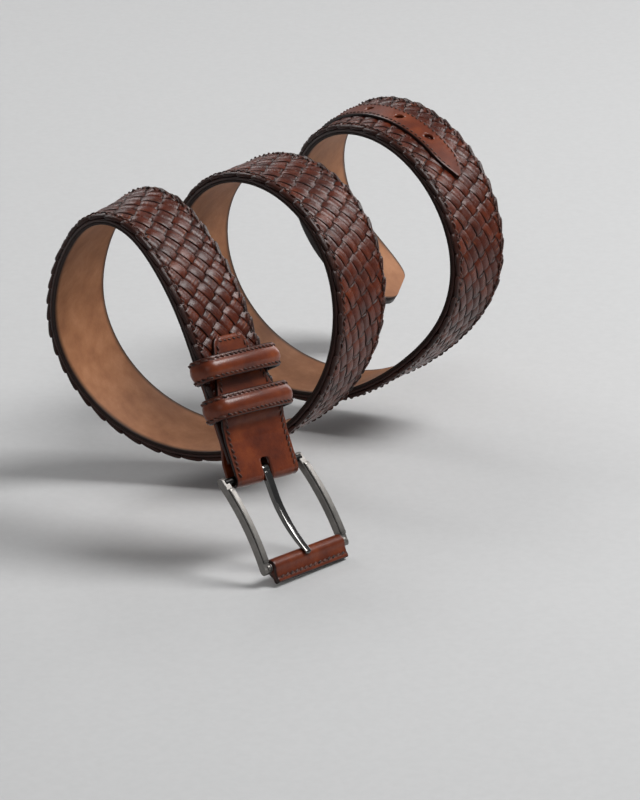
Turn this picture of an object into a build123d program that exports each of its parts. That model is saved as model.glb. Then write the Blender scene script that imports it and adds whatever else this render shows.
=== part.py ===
from build123d import *
import math
import os

# A woven leather dress belt, lying as it does on a round display tube: the buckle hangs off the
# front and the strap winds up over the tube and on along it to the tip.
# Millimetres, +Z up. The origin is on the display tube's axis, which is the X axis.
#
# Places on the strap are given as (s, u, h): s runs along the strap from the buckle fold, u runs
# across it, and h is the height above the strap's inner surface.

# --- strap ------------------------------------------------------------------------------------
STRAP_WIDTH = 35.0
LINING_THICKNESS = 1.2
BACKING_THICKNESS = 1.1
WEAVE_THICKNESS = 2.0
CORE_WIDTH = 27.0
CORE_THICKNESS = 0.5
CORE_SIDE_PLAY = 0.05
CORE_END_PLAY = 0.5
CORE_POCKET_LEAD = 1.0      # the core's pocket starts this far before the weave
CORE_TIP_INSET = 4.0        # and stops this far short of the tip leather
LINING_INSET = 0.5          # the lining stops this far inside each edge
WEAVE_INSET = 0.3           # the flat of the weave stops this far inside each edge
BACKING_START = 9.5
WEAVE_START = 26.0
STRAP_LENGTH = 915.0
TIP_LEATHER_LENGTH = 62.0
TIP_ROUND_LENGTH = 22.0
TIP_END_WIDTH = 13.0
TIP_SECTIONS = 10
WEAVE_END_GAP = 0.2         # from the weave to the tip leather
LAYER_GAP = 0.03            # glue line between layers

# --- how the strap lies -----------------------------------------------------------------------
START = Vector(-130.0, -70.8, -36.4)   # inner surface at the buckle fold
START_HEADING = 15.35       # degrees from +Y towards +X
START_CLIMB = 61.3          # degrees up from the horizontal
START_ROLL = -8.7           # degrees about the strap's own line
STRAIGHT_LENGTH = 60.0      # the tail, where the buckle tab and the keepers are
# Each stretch after the tail: length, bend radius, twist in degrees for 100 mm of strap.
STRETCHES = [
    (46.5, 102.0, -2.8),    # lifting onto the tube
    (33.5, 25.1, -58.3),    # over the crest
    (49.0, 101.0, -15.5),   # down the back of the first turn
    (238.5, 53.4, -33.8),   # under the tube and round the second turn
    (201.0, 51.9, -26.5),   # second turn to third turn
    (37.0, 86.9, -13.9),    # slack under the tube
    (38.0, 39.5, -36.1),    # picking the tube up again
    (212.0, 59.9, -34.2),   # third turn and round to the tip
]
RAMP = 24.0                 # length over which one bend eases into the next
WALK_STEP = 0.5
STATION_PITCH = 6.0         # spacing of the sections that the strap layers are lofted through
TIP_STATION_PITCH = 2.0
STATION_SPARE = 0.3         # share of the pitch: no grid section falls nearer than this to an end
CUT_OVERRUN = 1.0           # how far a cut runs past the leather

# --- edge stitching ---------------------------------------------------------------------------
THREAD_WIDTH = 0.6
THREAD_HEIGHT = 0.4
EDGE_STITCH_INSET = 2.8
EDGE_THREAD_START_GAP = 6.0  # from the fixed keeper to the edge stitching
EDGE_THREAD_END_GAP = 2.0    # from the edge stitching to the tip leather
TIP_THREAD_START_GAP = 1.5

# --- tip holes and their strip ----------------------------------------------------------------
HOLE_COUNT = 5
FIRST_HOLE = 749.0
HOLE_PITCH = 17.5
HOLE_RADIUS = 2.0
STRIP_WIDTH = 12.0
STRIP_THICKNESS = 1.0
STRIP_POINT = 728.0
STRIP_POINT_LENGTH = 12.0
STRIP_POINT_WIDTH = 1.6
STRIP_STITCH_INSET = 1.3
STRIP_END_GAP = 1.0         # from the strip to the tip leather, and from its stitching to its end

# --- buckle tab -------------------------------------------------------------------------------
TAB_WIDTH = 34.4
TAB_THICKNESS = 1.2
TAB_STEP_START = 19.0       # where the upper leg starts to climb onto the weave
TAB_STEP_END = 25.5
TAB_SHOULDER = 30.0         # where the upper leg starts to narrow
TONGUE_END = 57.5
TONGUE_END_WIDTH = 17.5
TONGUE_BEVEL = 2.0
TAB_RETURN_END = 44.0       # end of the lower leg
LINING_START_GAP = 0.4      # from the lower leg's end to the lining
RETURN_BEND_START = 7.5
RETURN_BEND_END = 17.0
SLOT_WIDTH = 5.0
SLOT_LENGTH = 8.5
SLOT_OVERRUN = 4.0          # how far the prong's slot is cut past the fold
TAB_STITCH_INSET = 2.0
TAB_THREAD_END_GAP = 0.8     # from a run of stitching to the fold, the step or the keeper

# --- chape bar, prong and buckle frame --------------------------------------------------------
CHAPE_BAR_RADIUS = 1.5
FOLD_CLEARANCE = 0.3
CHAPE_S = 4.2
CHAPE_H = 0.5
BUCKLE_TILT = 9.0           # degrees outward from the tab
BUCKLE_SKEW = 3.5           # degrees in its own plane
FRAME_WIDTH = 48.4          # over the side bars at the end bar
CHAPE_END_WIDTH = 46.6      # over the side bars at the chape bar
FRAME_REACH = 36.3          # chape bar to end bar, centre to centre
SIDE_BAR_WIDTH = 3.2
SIDE_BAR_DEPTH = 4.0
ARCH_RISE = 1.7
CHAPE_BOSS_RADIUS = 2.2
CHAPE_BAR_SEAT = 1.9        # how far the bar's holes go into the side bars
CHAPE_BAR_END_PLAY = 0.1
END_BAR_RADIUS = 1.6
CORNER_LENGTH = 4.4
CORNER_DEPTH = 4.2
CORNER_RADIUS = 1.2
SLEEVE_WIDTH = 40.7
SLEEVE_THICKNESS = 1.35
SLEEVE_FLAP = 6.7           # end bar centre to the flap's edge
SLEEVE_STITCH_INSET = 1.8
SLEEVE_THREAD_END_GAP = 1.5
PRONG_WIDTH = 3.8
PRONG_THICKNESS = 2.3
PRONG_RUNNING_CLEARANCE = 0.06
PRONG_EYE_WALL = 1.2
PRONG_ROOT_RISE = 0.9       # middle of the blade where it leaves the eye, above the chape bar's centre
PRONG_DIP = 0.1             # middle of the blade at its lowest, above the chape bar's centre
PRONG_CLIMB = 0.6           # middle of the blade where it starts to climb to the sleeve
PRONG_REST_GAP = 0.3
PRONG_OVERHANG = 0.8        # past the end bar's centre
PRONG_TIP_TAPER = 0.6       # width lost on each side at the tip
PRONG_LEAN = 1.8            # how far the tip leans to one side; it lies straight while the frame is askew
PRONG_NOSE_LENGTH = 0.8
PRONG_NOSE_THICKNESS = 1.5
PRONG_ROOT_DEPTH = 0.4      # how far the blade's underside runs into the eye's wall
# Where the blade's curve is set, as shares of its length from the chape bar to the tip.
PRONG_ROOT_AT = 0.16
PRONG_DIP_AT = 0.35
PRONG_CLIMB_AT = 0.65
PRONG_SEAT_AT = 0.85
# The blade just before the sleeve, as shares of the height that it rests at.
PRONG_SEAT_MIDDLE = 0.6
PRONG_SEAT_UNDERSIDE = 0.78
PRONG_CLIMB_THINNING = 0.9  # share of the blade's underside left where it starts to climb

# --- keepers ----------------------------------------------------------------------------------
KEEPER_WIDTH = 9.4
KEEPER_LEATHER = 1.3
KEEPER_LINING = 0.8
KEEPER_FIXED_S = 30.4       # middle of the keeper nearer the buckle
KEEPER_SLIDING_S = 45.8
KEEPER_SIDE_CLEARANCE = 1.6
KEEPER_UNDER_CLEARANCE = 0.5
KEEPER_HEADROOM = 4.6       # passage over the tongue for the strap's tip
KEEPER_SHOULDER_DROP = 2.6  # how much lower the arch is at its shoulders
KEEPER_CORNER = 2.0
KEEPER_LINING_INSET = 0.2
KEEPER_STITCH_INSET = 1.3
STAPLE_WIDTH = 8.0
STAPLE_WIRE = 0.7

os.makedirs("parts", exist_ok=True)

BACKING_BASE = LINING_THICKNESS
WEAVE_BASE = BACKING_BASE + BACKING_THICKNESS
STRAP_TOP = WEAVE_BASE + WEAVE_THICKNESS
WOVEN_END = STRAP_LENGTH - TIP_LEATHER_LENGTH
CORE_END = WOVEN_END - CORE_TIP_INSET
POCKET_START = WEAVE_START - CORE_POCKET_LEAD
EDGE_THREAD_START = KEEPER_FIXED_S + KEEPER_WIDTH / 2 + EDGE_THREAD_START_GAP


def bend_and_twist(s):
    """Bend and twist for a millimetre of strap at s, eased from each stretch into the next."""
    end = STRAIGHT_LENGTH
    bend, twist = 0.0, 0.0
    for length, radius, turn in STRETCHES:
        share = min(1.0, max(0.0, (s - end) / RAMP + 0.5))
        bend += (1.0 / radius - bend) * share
        twist += (math.radians(turn) / 100.0 - twist) * share
        end += length
    return bend, twist


def start_frame():
    heading, climb = math.radians(START_HEADING), math.radians(START_CLIMB)
    roll = math.radians(START_ROLL)
    level = Vector(math.cos(heading), -math.sin(heading), 0)
    forward = Vector(math.sin(heading), math.cos(heading), 0)
    along = forward * math.cos(climb) + Vector(0, 0, math.sin(climb))
    across = level * math.cos(roll) + level.cross(along) * math.sin(roll)
    return across, along


def walk_the_strap():
    """The strap's line and its across, along and outward directions, one entry for each step."""
    across, along = start_frame()
    point = START
    line = [(point, across, along, across.cross(along))]
    for i in range(math.ceil(STRAP_LENGTH / WALK_STEP) + 2):
        bend, twist = bend_and_twist((i + 0.5) * WALK_STEP)
        out = across.cross(along)
        turned = (along - out * (bend * WALK_STEP)).normalized()
        point = point + (along + turned).normalized() * WALK_STEP
        across = across - out * (twist * WALK_STEP)
        along = turned
        across = (across - along * across.dot(along)).normalized()
        line.append((point, across, along, across.cross(along)))
    return line


LINE = walk_the_strap()


def place(s, u, h):
    """The point at s along, u across and h above the strap's inner surface."""
    point, across, along, out = LINE[int(s / WALK_STEP)]
    return point + along * (s - int(s / WALK_STEP) * WALK_STEP) + across * u + out * h


def stations(start, end, pitch=STATION_PITCH):
    """Section places from start to end, on one grid that all the layers share."""
    first = math.floor(start / pitch + STATION_SPARE) + 1
    last = math.ceil(end / pitch - STATION_SPARE)
    return [start] + [i * pitch for i in range(first, last)] + [end]


def layer(outline, at):
    """A solid that follows the strap: outline(s) gives the corners (u, h) of its section at s."""
    faces = []
    for s in at:
        corners = [place(s, u, h) for u, h in outline(s)]
        faces.append(Face(Wire.make_polygon(corners, close=True)))
    return loft(faces)


def bar_outline(half, low, high, middle=0.0):
    return [(middle - half, low), (middle + half, low), (middle + half, high), (middle - half, high)]


def write(shape, node):
    shape.label = node
    export_step(shape, f"parts/{node}.step")


def hole_cutters(low, high):
    """The punched holes' cylinders, square to the strap."""
    cutters = []
    for i in range(HOLE_COUNT):
        s = FIRST_HOLE + i * HOLE_PITCH
        out = LINE[int(s / WALK_STEP)][3]
        bottom = Plane(origin=place(s, 0, low), z_dir=out)
        cutters.append(extrude(bottom * Circle(HOLE_RADIUS), high - low))
    return cutters


# --- strap layers -----------------------------------------------------------------------------
def tip_half_width(s, half):
    """Half width of the strap's rounded tip, drawn in along a quarter ellipse."""
    into = max(0.0, s - (STRAP_LENGTH - TIP_ROUND_LENGTH)) / TIP_ROUND_LENGTH
    return half - (half - TIP_END_WIDTH / 2) * (1 - math.sqrt(1 - into * into))


def tip_layer(start, half, low, high):
    """A layer with the rounded tip: an even run, then a run that narrows to the tip."""
    shoulder = STRAP_LENGTH - TIP_ROUND_LENGTH
    even = layer(lambda s: bar_outline(half, low, high), stations(start, shoulder))
    faces = []
    for i in range(TIP_SECTIONS + 1):
        s = shoulder + TIP_ROUND_LENGTH * math.sin(math.pi / 2 * i / TIP_SECTIONS)
        corners = [place(s, u, h) for u, h in bar_outline(tip_half_width(s, half), low, high)]
        faces.append(Face(Wire.make_polygon(corners, close=True)))
    return even + loft(faces, ruled=True)


def lining():
    start = TAB_RETURN_END + LINING_START_GAP
    body = tip_layer(start, STRAP_WIDTH / 2 - LINING_INSET, 0, LINING_THICKNESS)
    return body - hole_cutters(-CUT_OVERRUN, LINING_THICKNESS + CUT_OVERRUN)


def backing():
    """The strap under the weave, with a pocket in its underside for the core."""
    half, core = STRAP_WIDTH / 2, CORE_WIDTH / 2 + CORE_SIDE_PLAY
    low, high = BACKING_BASE + LAYER_GAP, WEAVE_BASE
    pocket = low + CORE_THICKNESS + LAYER_GAP
    fore = layer(lambda s: bar_outline(half, low, high), [BACKING_START, POCKET_START])
    run = layer(
        lambda s: [
            (-half, low), (-core, low), (-core, pocket), (core, pocket),
            (core, low), (half, low), (half, high), (-half, high),
        ],
        stations(POCKET_START, CORE_END),
    )
    aft = layer(lambda s: bar_outline(half, low, high), stations(CORE_END, WOVEN_END))
    return fore + run + aft - hole_cutters(low - CUT_OVERRUN, high + CUT_OVERRUN)


def core():
    low = BACKING_BASE + LAYER_GAP
    high = low + CORE_THICKNESS
    body = layer(
        lambda s: bar_outline(CORE_WIDTH / 2, low, high),
        stations(POCKET_START + CORE_END_PLAY, CORE_END - CORE_END_PLAY),
    )
    return body - hole_cutters(low - CUT_OVERRUN, high + CUT_OVERRUN)


def woven_face():
    half = STRAP_WIDTH / 2
    low, high = WEAVE_BASE + LAYER_GAP, STRAP_TOP
    middle = (low + high) / 2
    body = layer(
        lambda s: [
            (-half + WEAVE_INSET, low), (half - WEAVE_INSET, low), (half, middle),
            (half - WEAVE_INSET, high), (-half + WEAVE_INSET, high), (-half, middle),
        ],
        stations(WEAVE_START, WOVEN_END - WEAVE_END_GAP),
    )
    return body - hole_cutters(low - CUT_OVERRUN, high + CUT_OVERRUN)


def tip_leather():
    return tip_layer(WOVEN_END, STRAP_WIDTH / 2, BACKING_BASE + LAYER_GAP, STRAP_TOP)


def edge_thread(side):
    low = STRAP_TOP + LAYER_GAP
    middle = side * (STRAP_WIDTH / 2 - EDGE_STITCH_INSET)
    return layer(
        lambda s: bar_outline(THREAD_WIDTH / 2, low, low + THREAD_HEIGHT, middle),
        stations(EDGE_THREAD_START, WOVEN_END - EDGE_THREAD_END_GAP),
    )


def tip_thread(side):
    low = STRAP_TOP + LAYER_GAP
    middle = side * (STRAP_WIDTH / 2 - EDGE_STITCH_INSET)
    return layer(
        lambda s: bar_outline(THREAD_WIDTH / 2, low, low + THREAD_HEIGHT, middle),
        stations(WOVEN_END + TIP_THREAD_START_GAP, STRAP_LENGTH - TIP_ROUND_LENGTH),
    )


# --- strip with the holes ---------------------------------------------------------------------
STRIP_END = WOVEN_END - STRIP_END_GAP
STRIP_BASE = STRAP_TOP + LAYER_GAP


def strip_half_width(s):
    into = min(1.0, (s - STRIP_POINT) / STRIP_POINT_LENGTH)
    return STRIP_POINT_WIDTH / 2 + (STRIP_WIDTH - STRIP_POINT_WIDTH) / 2 * into


def hole_strip():
    low, high = STRIP_BASE, STRIP_BASE + STRIP_THICKNESS
    shoulder = STRIP_POINT + STRIP_POINT_LENGTH
    point = layer(
        lambda s: bar_outline(strip_half_width(s), low, high),
        stations(STRIP_POINT, shoulder, TIP_STATION_PITCH),
    )
    run = layer(lambda s: bar_outline(STRIP_WIDTH / 2, low, high), stations(shoulder, STRIP_END))
    return point + run - hole_cutters(low - CUT_OVERRUN, high + CUT_OVERRUN)


def strip_thread(side):
    low = STRIP_BASE + STRIP_THICKNESS + LAYER_GAP
    middle = side * (STRIP_WIDTH / 2 - STRIP_STITCH_INSET)
    return layer(
        lambda s: bar_outline(THREAD_WIDTH / 2, low, low + THREAD_HEIGHT, middle),
        stations(STRIP_POINT + STRIP_POINT_LENGTH, STRIP_END - STRIP_END_GAP),
    )


# --- the tail's own plane: X across, Y along the strap, Z outward -----------------------------
TAIL = Plane(origin=START, x_dir=LINE[0][1], z_dir=LINE[0][3])


def on_tail(shape):
    return TAIL.location * shape


def side_profile(points, width, middle=0.0):
    """A solid with the outline points (s, h), width wide across the strap."""
    face = Face(Wire.make_polygon([Vector(middle - width / 2, s, h) for s, h in points], close=True))
    return extrude(face, width, dir=(1, 0, 0))


# --- buckle tab -------------------------------------------------------------------------------
FOLD_INNER = CHAPE_BAR_RADIUS + FOLD_CLEARANCE
FOLD_S = FOLD_INNER + TAB_THICKNESS
FOLD_TOP = CHAPE_H + FOLD_INNER
FOLD_BOTTOM = CHAPE_H - FOLD_INNER
UPPER_LEG_BASE = WEAVE_BASE + LAYER_GAP
TONGUE_BASE = STRAP_TOP + LAYER_GAP


def tab_blank():
    """The folded tab before its outline is cut: tongue, upper leg, fold and lower leg."""
    t = TAB_THICKNESS
    upper = side_profile(
        [
            (FOLD_S, FOLD_TOP), (TAB_STEP_START, UPPER_LEG_BASE), (TAB_STEP_END, TONGUE_BASE),
            (TONGUE_END, TONGUE_BASE), (TONGUE_END, TONGUE_BASE + t), (TAB_STEP_END, TONGUE_BASE + t),
            (TAB_STEP_START, UPPER_LEG_BASE + t), (FOLD_S, FOLD_TOP + t),
        ],
        TAB_WIDTH,
    )
    lower = side_profile(
        [
            (FOLD_S, FOLD_BOTTOM), (RETURN_BEND_START, FOLD_BOTTOM), (RETURN_BEND_END, LINING_THICKNESS),
            (TAB_RETURN_END, LINING_THICKNESS), (TAB_RETURN_END, LINING_THICKNESS - t),
            (RETURN_BEND_END, LINING_THICKNESS - t), (RETURN_BEND_START, FOLD_BOTTOM - t),
            (FOLD_S, FOLD_BOTTOM - t),
        ],
        TAB_WIDTH,
    )
    section = Plane(origin=(-TAB_WIDTH / 2, FOLD_S, CHAPE_H), x_dir=(0, 1, 0), z_dir=(1, 0, 0))
    ring = Circle(FOLD_INNER + t) - Circle(FOLD_INNER)
    half = ring - Pos(FOLD_S, 0) * Rectangle(2 * FOLD_S, 4 * FOLD_S)
    fold = extrude(section * half, TAB_WIDTH)
    return upper + fold + lower


def tab_outline():
    """The tab seen from outside: full width, then narrowing to the tongue's bevelled end."""
    wide, end = TAB_WIDTH / 2, TONGUE_END_WIDTH / 2
    return [
        (-wide, -CUT_OVERRUN), (wide, -CUT_OVERRUN), (wide, TAB_SHOULDER),
        (end, TONGUE_END - TONGUE_BEVEL),
        (end - TONGUE_BEVEL, TONGUE_END), (-end + TONGUE_BEVEL, TONGUE_END),
        (-end, TONGUE_END - TONGUE_BEVEL), (-wide, TAB_SHOULDER),
    ]


def buckle_tab():
    """The outline trims the tongue alone; everything under it keeps the full width."""
    base = TONGUE_BASE - LAYER_GAP / 3
    outline = [Vector(u, s, base) for u, s in tab_outline()]
    face = Face(Wire.make_polygon(outline, close=True))
    keep = extrude(face, 2 * TAB_THICKNESS, dir=(0, 0, 1))
    under = Pos(0, TONGUE_END / 2, base - TONGUE_BASE) * Box(2 * TAB_WIDTH, 2 * TONGUE_END, 2 * TONGUE_BASE)
    cut = SLOT_LENGTH + SLOT_OVERRUN
    slot = Pos(0, SLOT_LENGTH - cut / 2, CHAPE_H) * Box(SLOT_WIDTH, cut, 4 * FOLD_S)
    return on_tail(tab_blank() & (keep + under) - slot)


def tab_thread():
    """Stitching along both edges of the upper leg, and along the tongue and across its end."""
    t, w = THREAD_HEIGHT, THREAD_WIDTH
    top = UPPER_LEG_BASE + TAB_THICKNESS + LAYER_GAP
    run_start, run_end = FOLD_S + TAB_THREAD_END_GAP, TAB_STEP_START - TAB_THREAD_END_GAP
    fore = FOLD_TOP + TAB_THICKNESS + LAYER_GAP
    pieces = []
    for side in (-1, 1):
        u = side * (TAB_WIDTH / 2 - TAB_STITCH_INSET)
        lift = [(run_start, fore), (run_end, top), (run_end, top + t), (run_start, fore + t)]
        pieces.append(side_profile(lift, w, u))
    high = TONGUE_BASE + TAB_THICKNESS + LAYER_GAP + t / 2
    gap_start = KEEPER_FIXED_S + KEEPER_WIDTH / 2 + TAB_THREAD_END_GAP
    corner_s = TONGUE_END - TAB_STITCH_INSET
    for side in (-1, 1):
        lean = (TAB_WIDTH - TONGUE_END_WIDTH) / 2 / (TONGUE_END - TONGUE_BEVEL - TAB_SHOULDER)
        u0 = TAB_WIDTH / 2 - lean * (gap_start - TAB_SHOULDER) - TAB_STITCH_INSET
        u1 = TAB_WIDTH / 2 - lean * (corner_s - TAB_SHOULDER) - TAB_STITCH_INSET
        length = math.hypot(corner_s - gap_start, u0 - u1)
        turn = side * math.degrees(math.atan2(u0 - u1, corner_s - gap_start))
        where = Pos(side * (u0 + u1) / 2, (gap_start + corner_s) / 2, high)
        pieces.append(where * Rot(0, 0, turn) * Box(w, length, t))
    pieces.append(Pos(0, corner_s, high) * Box(2 * u1 - w * 2, w, t))
    return on_tail(Compound(pieces))


# --- keepers ----------------------------------------------------------------------------------
KEEPER_HALF = STRAP_WIDTH / 2 + KEEPER_SIDE_CLEARANCE
KEEPER_LOW = -KEEPER_UNDER_CLEARANCE
KEEPER_HIGH = TONGUE_BASE + TAB_THICKNESS + KEEPER_HEADROOM


def keeper_ring(s, offset, thickness, width):
    """A closed band round the strap: its inner wall is offset outside the keeper's passage."""

    def passage(grow):
        half, low, high = KEEPER_HALF + grow, KEEPER_LOW - grow, KEEPER_HIGH + grow
        shoulder = high - KEEPER_SHOULDER_DROP
        outline = Polyline((-half, shoulder), (-half, low), (half, low), (half, shoulder))
        arch = ThreePointArc((half, shoulder), (0, high), (-half, shoulder))
        face = make_face(outline + arch)
        return fillet(face.vertices(), KEEPER_CORNER + grow)

    section = Plane(origin=(0, s + width / 2, 0), x_dir=(1, 0, 0), z_dir=(0, -1, 0))
    ring = passage(offset + thickness) - passage(offset)
    return extrude(section * ring, width)


def keeper_leather(s):
    body = keeper_ring(s, KEEPER_LINING + LAYER_GAP, KEEPER_LEATHER, KEEPER_WIDTH)
    return on_tail(body)


def keeper_lining(s):
    return on_tail(keeper_ring(s, 0, KEEPER_LINING, KEEPER_WIDTH - 2 * KEEPER_LINING_INSET))


def keeper_thread(s):
    outside = KEEPER_LINING + KEEPER_LEATHER + 2 * LAYER_GAP
    rows = []
    for side in (-1, 1):
        middle = s + side * (KEEPER_WIDTH / 2 - KEEPER_STITCH_INSET)
        rows.append(keeper_ring(middle, outside, THREAD_HEIGHT, THREAD_WIDTH))
    return on_tail(Compound(rows))


def keeper_staple(s):
    """A wire staple across the join in the sliding keeper's band, under the strap."""
    low = KEEPER_LOW - KEEPER_LINING - KEEPER_LEATHER - 2 * LAYER_GAP - STAPLE_WIRE / 2
    crown = Pos(0, s, low) * Box(STAPLE_WIDTH, 2 * STAPLE_WIRE, STAPLE_WIRE)
    return on_tail(crown)


# --- buckle -----------------------------------------------------------------------------------
# The buckle's own plane: origin at the middle of the chape bar, Y towards the end bar, Z outward.
BUCKLE = (
    TAIL.location
    * Pos(0, CHAPE_S, CHAPE_H)
    * Rot(0, 0, 180 + BUCKLE_SKEW)
    * Rot(BUCKLE_TILT, 0, 0)
)
END_SIDE_X = (FRAME_WIDTH - SIDE_BAR_WIDTH) / 2
CHAPE_SIDE_X = (CHAPE_END_WIDTH - SIDE_BAR_WIDTH) / 2
INNER_WIDTH = CHAPE_END_WIDTH - 2 * SIDE_BAR_WIDTH


def on_buckle(shape):
    return BUCKLE * shape


def in_side_view(x):
    """Sketch plane across the buckle at x: sketch X runs to the end bar, sketch Y outward."""
    return Plane(origin=(x, 0, 0), x_dir=(0, 1, 0), z_dir=(1, 0, 0))


def side_bar(side):
    """An arched bar from the chape bar to the end bar, leaning outward to the wider end."""
    rise, half = ARCH_RISE, SIDE_BAR_DEPTH / 2
    outer = ThreePointArc((0, half), (FRAME_REACH / 2, rise + half), (FRAME_REACH, half))
    inner = ThreePointArc((0, -half), (FRAME_REACH / 2, rise - half), (FRAME_REACH, -half))
    ends = Line((0, half), (0, -half)) + Line((FRAME_REACH, half), (FRAME_REACH, -half))
    profile = make_face(outer + inner + ends)
    profile += Circle(CHAPE_BOSS_RADIUS)
    profile += Pos(FRAME_REACH, 0) * RectangleRounded(CORNER_LENGTH, CORNER_DEPTH, CORNER_RADIUS)
    bar = extrude(in_side_view(-SIDE_BAR_WIDTH / 2) * profile, SIDE_BAR_WIDTH)
    flare = math.degrees(math.atan2(END_SIDE_X - CHAPE_SIDE_X, FRAME_REACH))
    return Pos(side * CHAPE_SIDE_X, 0, 0) * Rot(0, 0, -side * flare) * bar


def buckle_frame():
    bars = side_bar(-1) + side_bar(1)
    end = extrude(
        in_side_view(-END_SIDE_X) * Pos(FRAME_REACH, 0) * Circle(END_BAR_RADIUS), 2 * END_SIDE_X
    )
    seat = INNER_WIDTH / 2 + CHAPE_BAR_SEAT
    holes = extrude(in_side_view(-seat) * Circle(CHAPE_BAR_RADIUS + LAYER_GAP), 2 * seat)
    return on_buckle(bars + end - holes)


def chape_bar():
    length = INNER_WIDTH + 2 * (CHAPE_BAR_SEAT - CHAPE_BAR_END_PLAY)
    return on_buckle(extrude(in_side_view(-length / 2) * Circle(CHAPE_BAR_RADIUS), length))


def end_sleeve():
    """Leather wrapped round the end bar, its two edges sewn together as a flap."""
    outer = END_BAR_RADIUS + LAYER_GAP + SLEEVE_THICKNESS
    profile = Pos(FRAME_REACH, 0) * Circle(outer)
    flap = Pos(FRAME_REACH + SLEEVE_FLAP / 2, 0) * Rectangle(SLEEVE_FLAP, 2 * SLEEVE_THICKNESS)
    profile = profile + flap - Pos(FRAME_REACH, 0) * Circle(END_BAR_RADIUS + LAYER_GAP)
    return on_buckle(extrude(in_side_view(-SLEEVE_WIDTH / 2) * profile, SLEEVE_WIDTH))


def sleeve_thread():
    y = FRAME_REACH + SLEEVE_FLAP - SLEEVE_STITCH_INSET
    z = SLEEVE_THICKNESS + LAYER_GAP + THREAD_HEIGHT / 2
    row = Box(SLEEVE_WIDTH - 2 * SLEEVE_THREAD_END_GAP, THREAD_WIDTH, THREAD_HEIGHT)
    return on_buckle(Compound([Pos(0, y, side * z) * row for side in (-1, 1)]))


def prong():
    """A bent tongue: an eye round the chape bar, a blade that sags and then climbs onto the sleeve."""
    eye_inner = CHAPE_BAR_RADIUS + PRONG_RUNNING_CLEARANCE
    eye_outer = eye_inner + PRONG_EYE_WALL
    half = PRONG_THICKNESS / 2
    rest = END_BAR_RADIUS + LAYER_GAP + SLEEVE_THICKNESS + PRONG_REST_GAP
    tip = FRAME_REACH + PRONG_OVERHANG
    nose = tip - PRONG_NOSE_LENGTH
    nose_top = rest + PRONG_NOSE_THICKNESS
    heel = -eye_inner - PRONG_ROOT_DEPTH
    root_y, dip_y = PRONG_ROOT_AT * tip, PRONG_DIP_AT * tip
    climb_y, seat_y = PRONG_CLIMB_AT * tip, PRONG_SEAT_AT * tip
    upper = Spline(
        (0, eye_outer), (root_y, PRONG_ROOT_RISE + half), (dip_y, PRONG_DIP + half),
        (climb_y, PRONG_CLIMB + half), (seat_y, PRONG_SEAT_MIDDLE * rest + half), (nose, nose_top),
    )
    tip_round = ThreePointArc((nose, nose_top), (tip, (rest + nose_top) / 2), (nose, rest))
    lower = Spline(
        (nose, rest), (seat_y, PRONG_SEAT_UNDERSIDE * rest - half),
        (climb_y, PRONG_CLIMB - PRONG_CLIMB_THINNING * half), (dip_y, PRONG_DIP - half),
        (root_y, PRONG_ROOT_RISE - half), (0, heel),
    )
    back = Line((0, heel), (0, eye_outer))
    blade = make_face(upper + tip_round + lower + back) + Circle(eye_outer)
    blade = blade - Circle(eye_inner)
    reach = PRONG_WIDTH / 2 + PRONG_LEAN
    body = extrude(in_side_view(-reach) * blade, 2 * reach)
    root, end = PRONG_WIDTH / 2, PRONG_WIDTH / 2 - PRONG_TIP_TAPER
    plan = [
        (-root, -eye_outer), (root, -eye_outer), (root, eye_outer), (PRONG_LEAN + end, tip),
        (PRONG_LEAN - end, tip), (-root, eye_outer),
    ]
    outline = Face(Wire.make_polygon([Vector(x, y, -2 * rest) for x, y in plan], close=True))
    return on_buckle(body & extrude(outline, 4 * rest, dir=(0, 0, 1)))


NODES = {
    "lining": lining,
    "backing_strap": backing,
    "reinforcement_core": core,
    "woven_face": woven_face,
    "tip_leather": tip_leather,
    "edge_thread_left": lambda: edge_thread(-1),
    "edge_thread_right": lambda: edge_thread(1),
    "tip_thread": lambda: Compound([tip_thread(-1), tip_thread(1)]),
    "hole_strip": hole_strip,
    "hole_strip_thread": lambda: Compound([strip_thread(-1), strip_thread(1)]),
    "buckle_tab": buckle_tab,
    "buckle_tab_thread": tab_thread,
    "keeper_fixed": lambda: keeper_leather(KEEPER_FIXED_S),
    "keeper_fixed_lining": lambda: keeper_lining(KEEPER_FIXED_S),
    "keeper_fixed_thread": lambda: keeper_thread(KEEPER_FIXED_S),
    "keeper_sliding": lambda: keeper_leather(KEEPER_SLIDING_S),
    "keeper_sliding_lining": lambda: keeper_lining(KEEPER_SLIDING_S),
    "keeper_sliding_thread": lambda: keeper_thread(KEEPER_SLIDING_S),
    "keeper_staple": lambda: keeper_staple(KEEPER_SLIDING_S),
    "buckle_frame": buckle_frame,
    "chape_bar": chape_bar,
    "end_sleeve": end_sleeve,
    "end_sleeve_thread": sleeve_thread,
    "prong": prong,
}

for name, make in NODES.items():
    write(make(), name)
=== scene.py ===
import math

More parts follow.
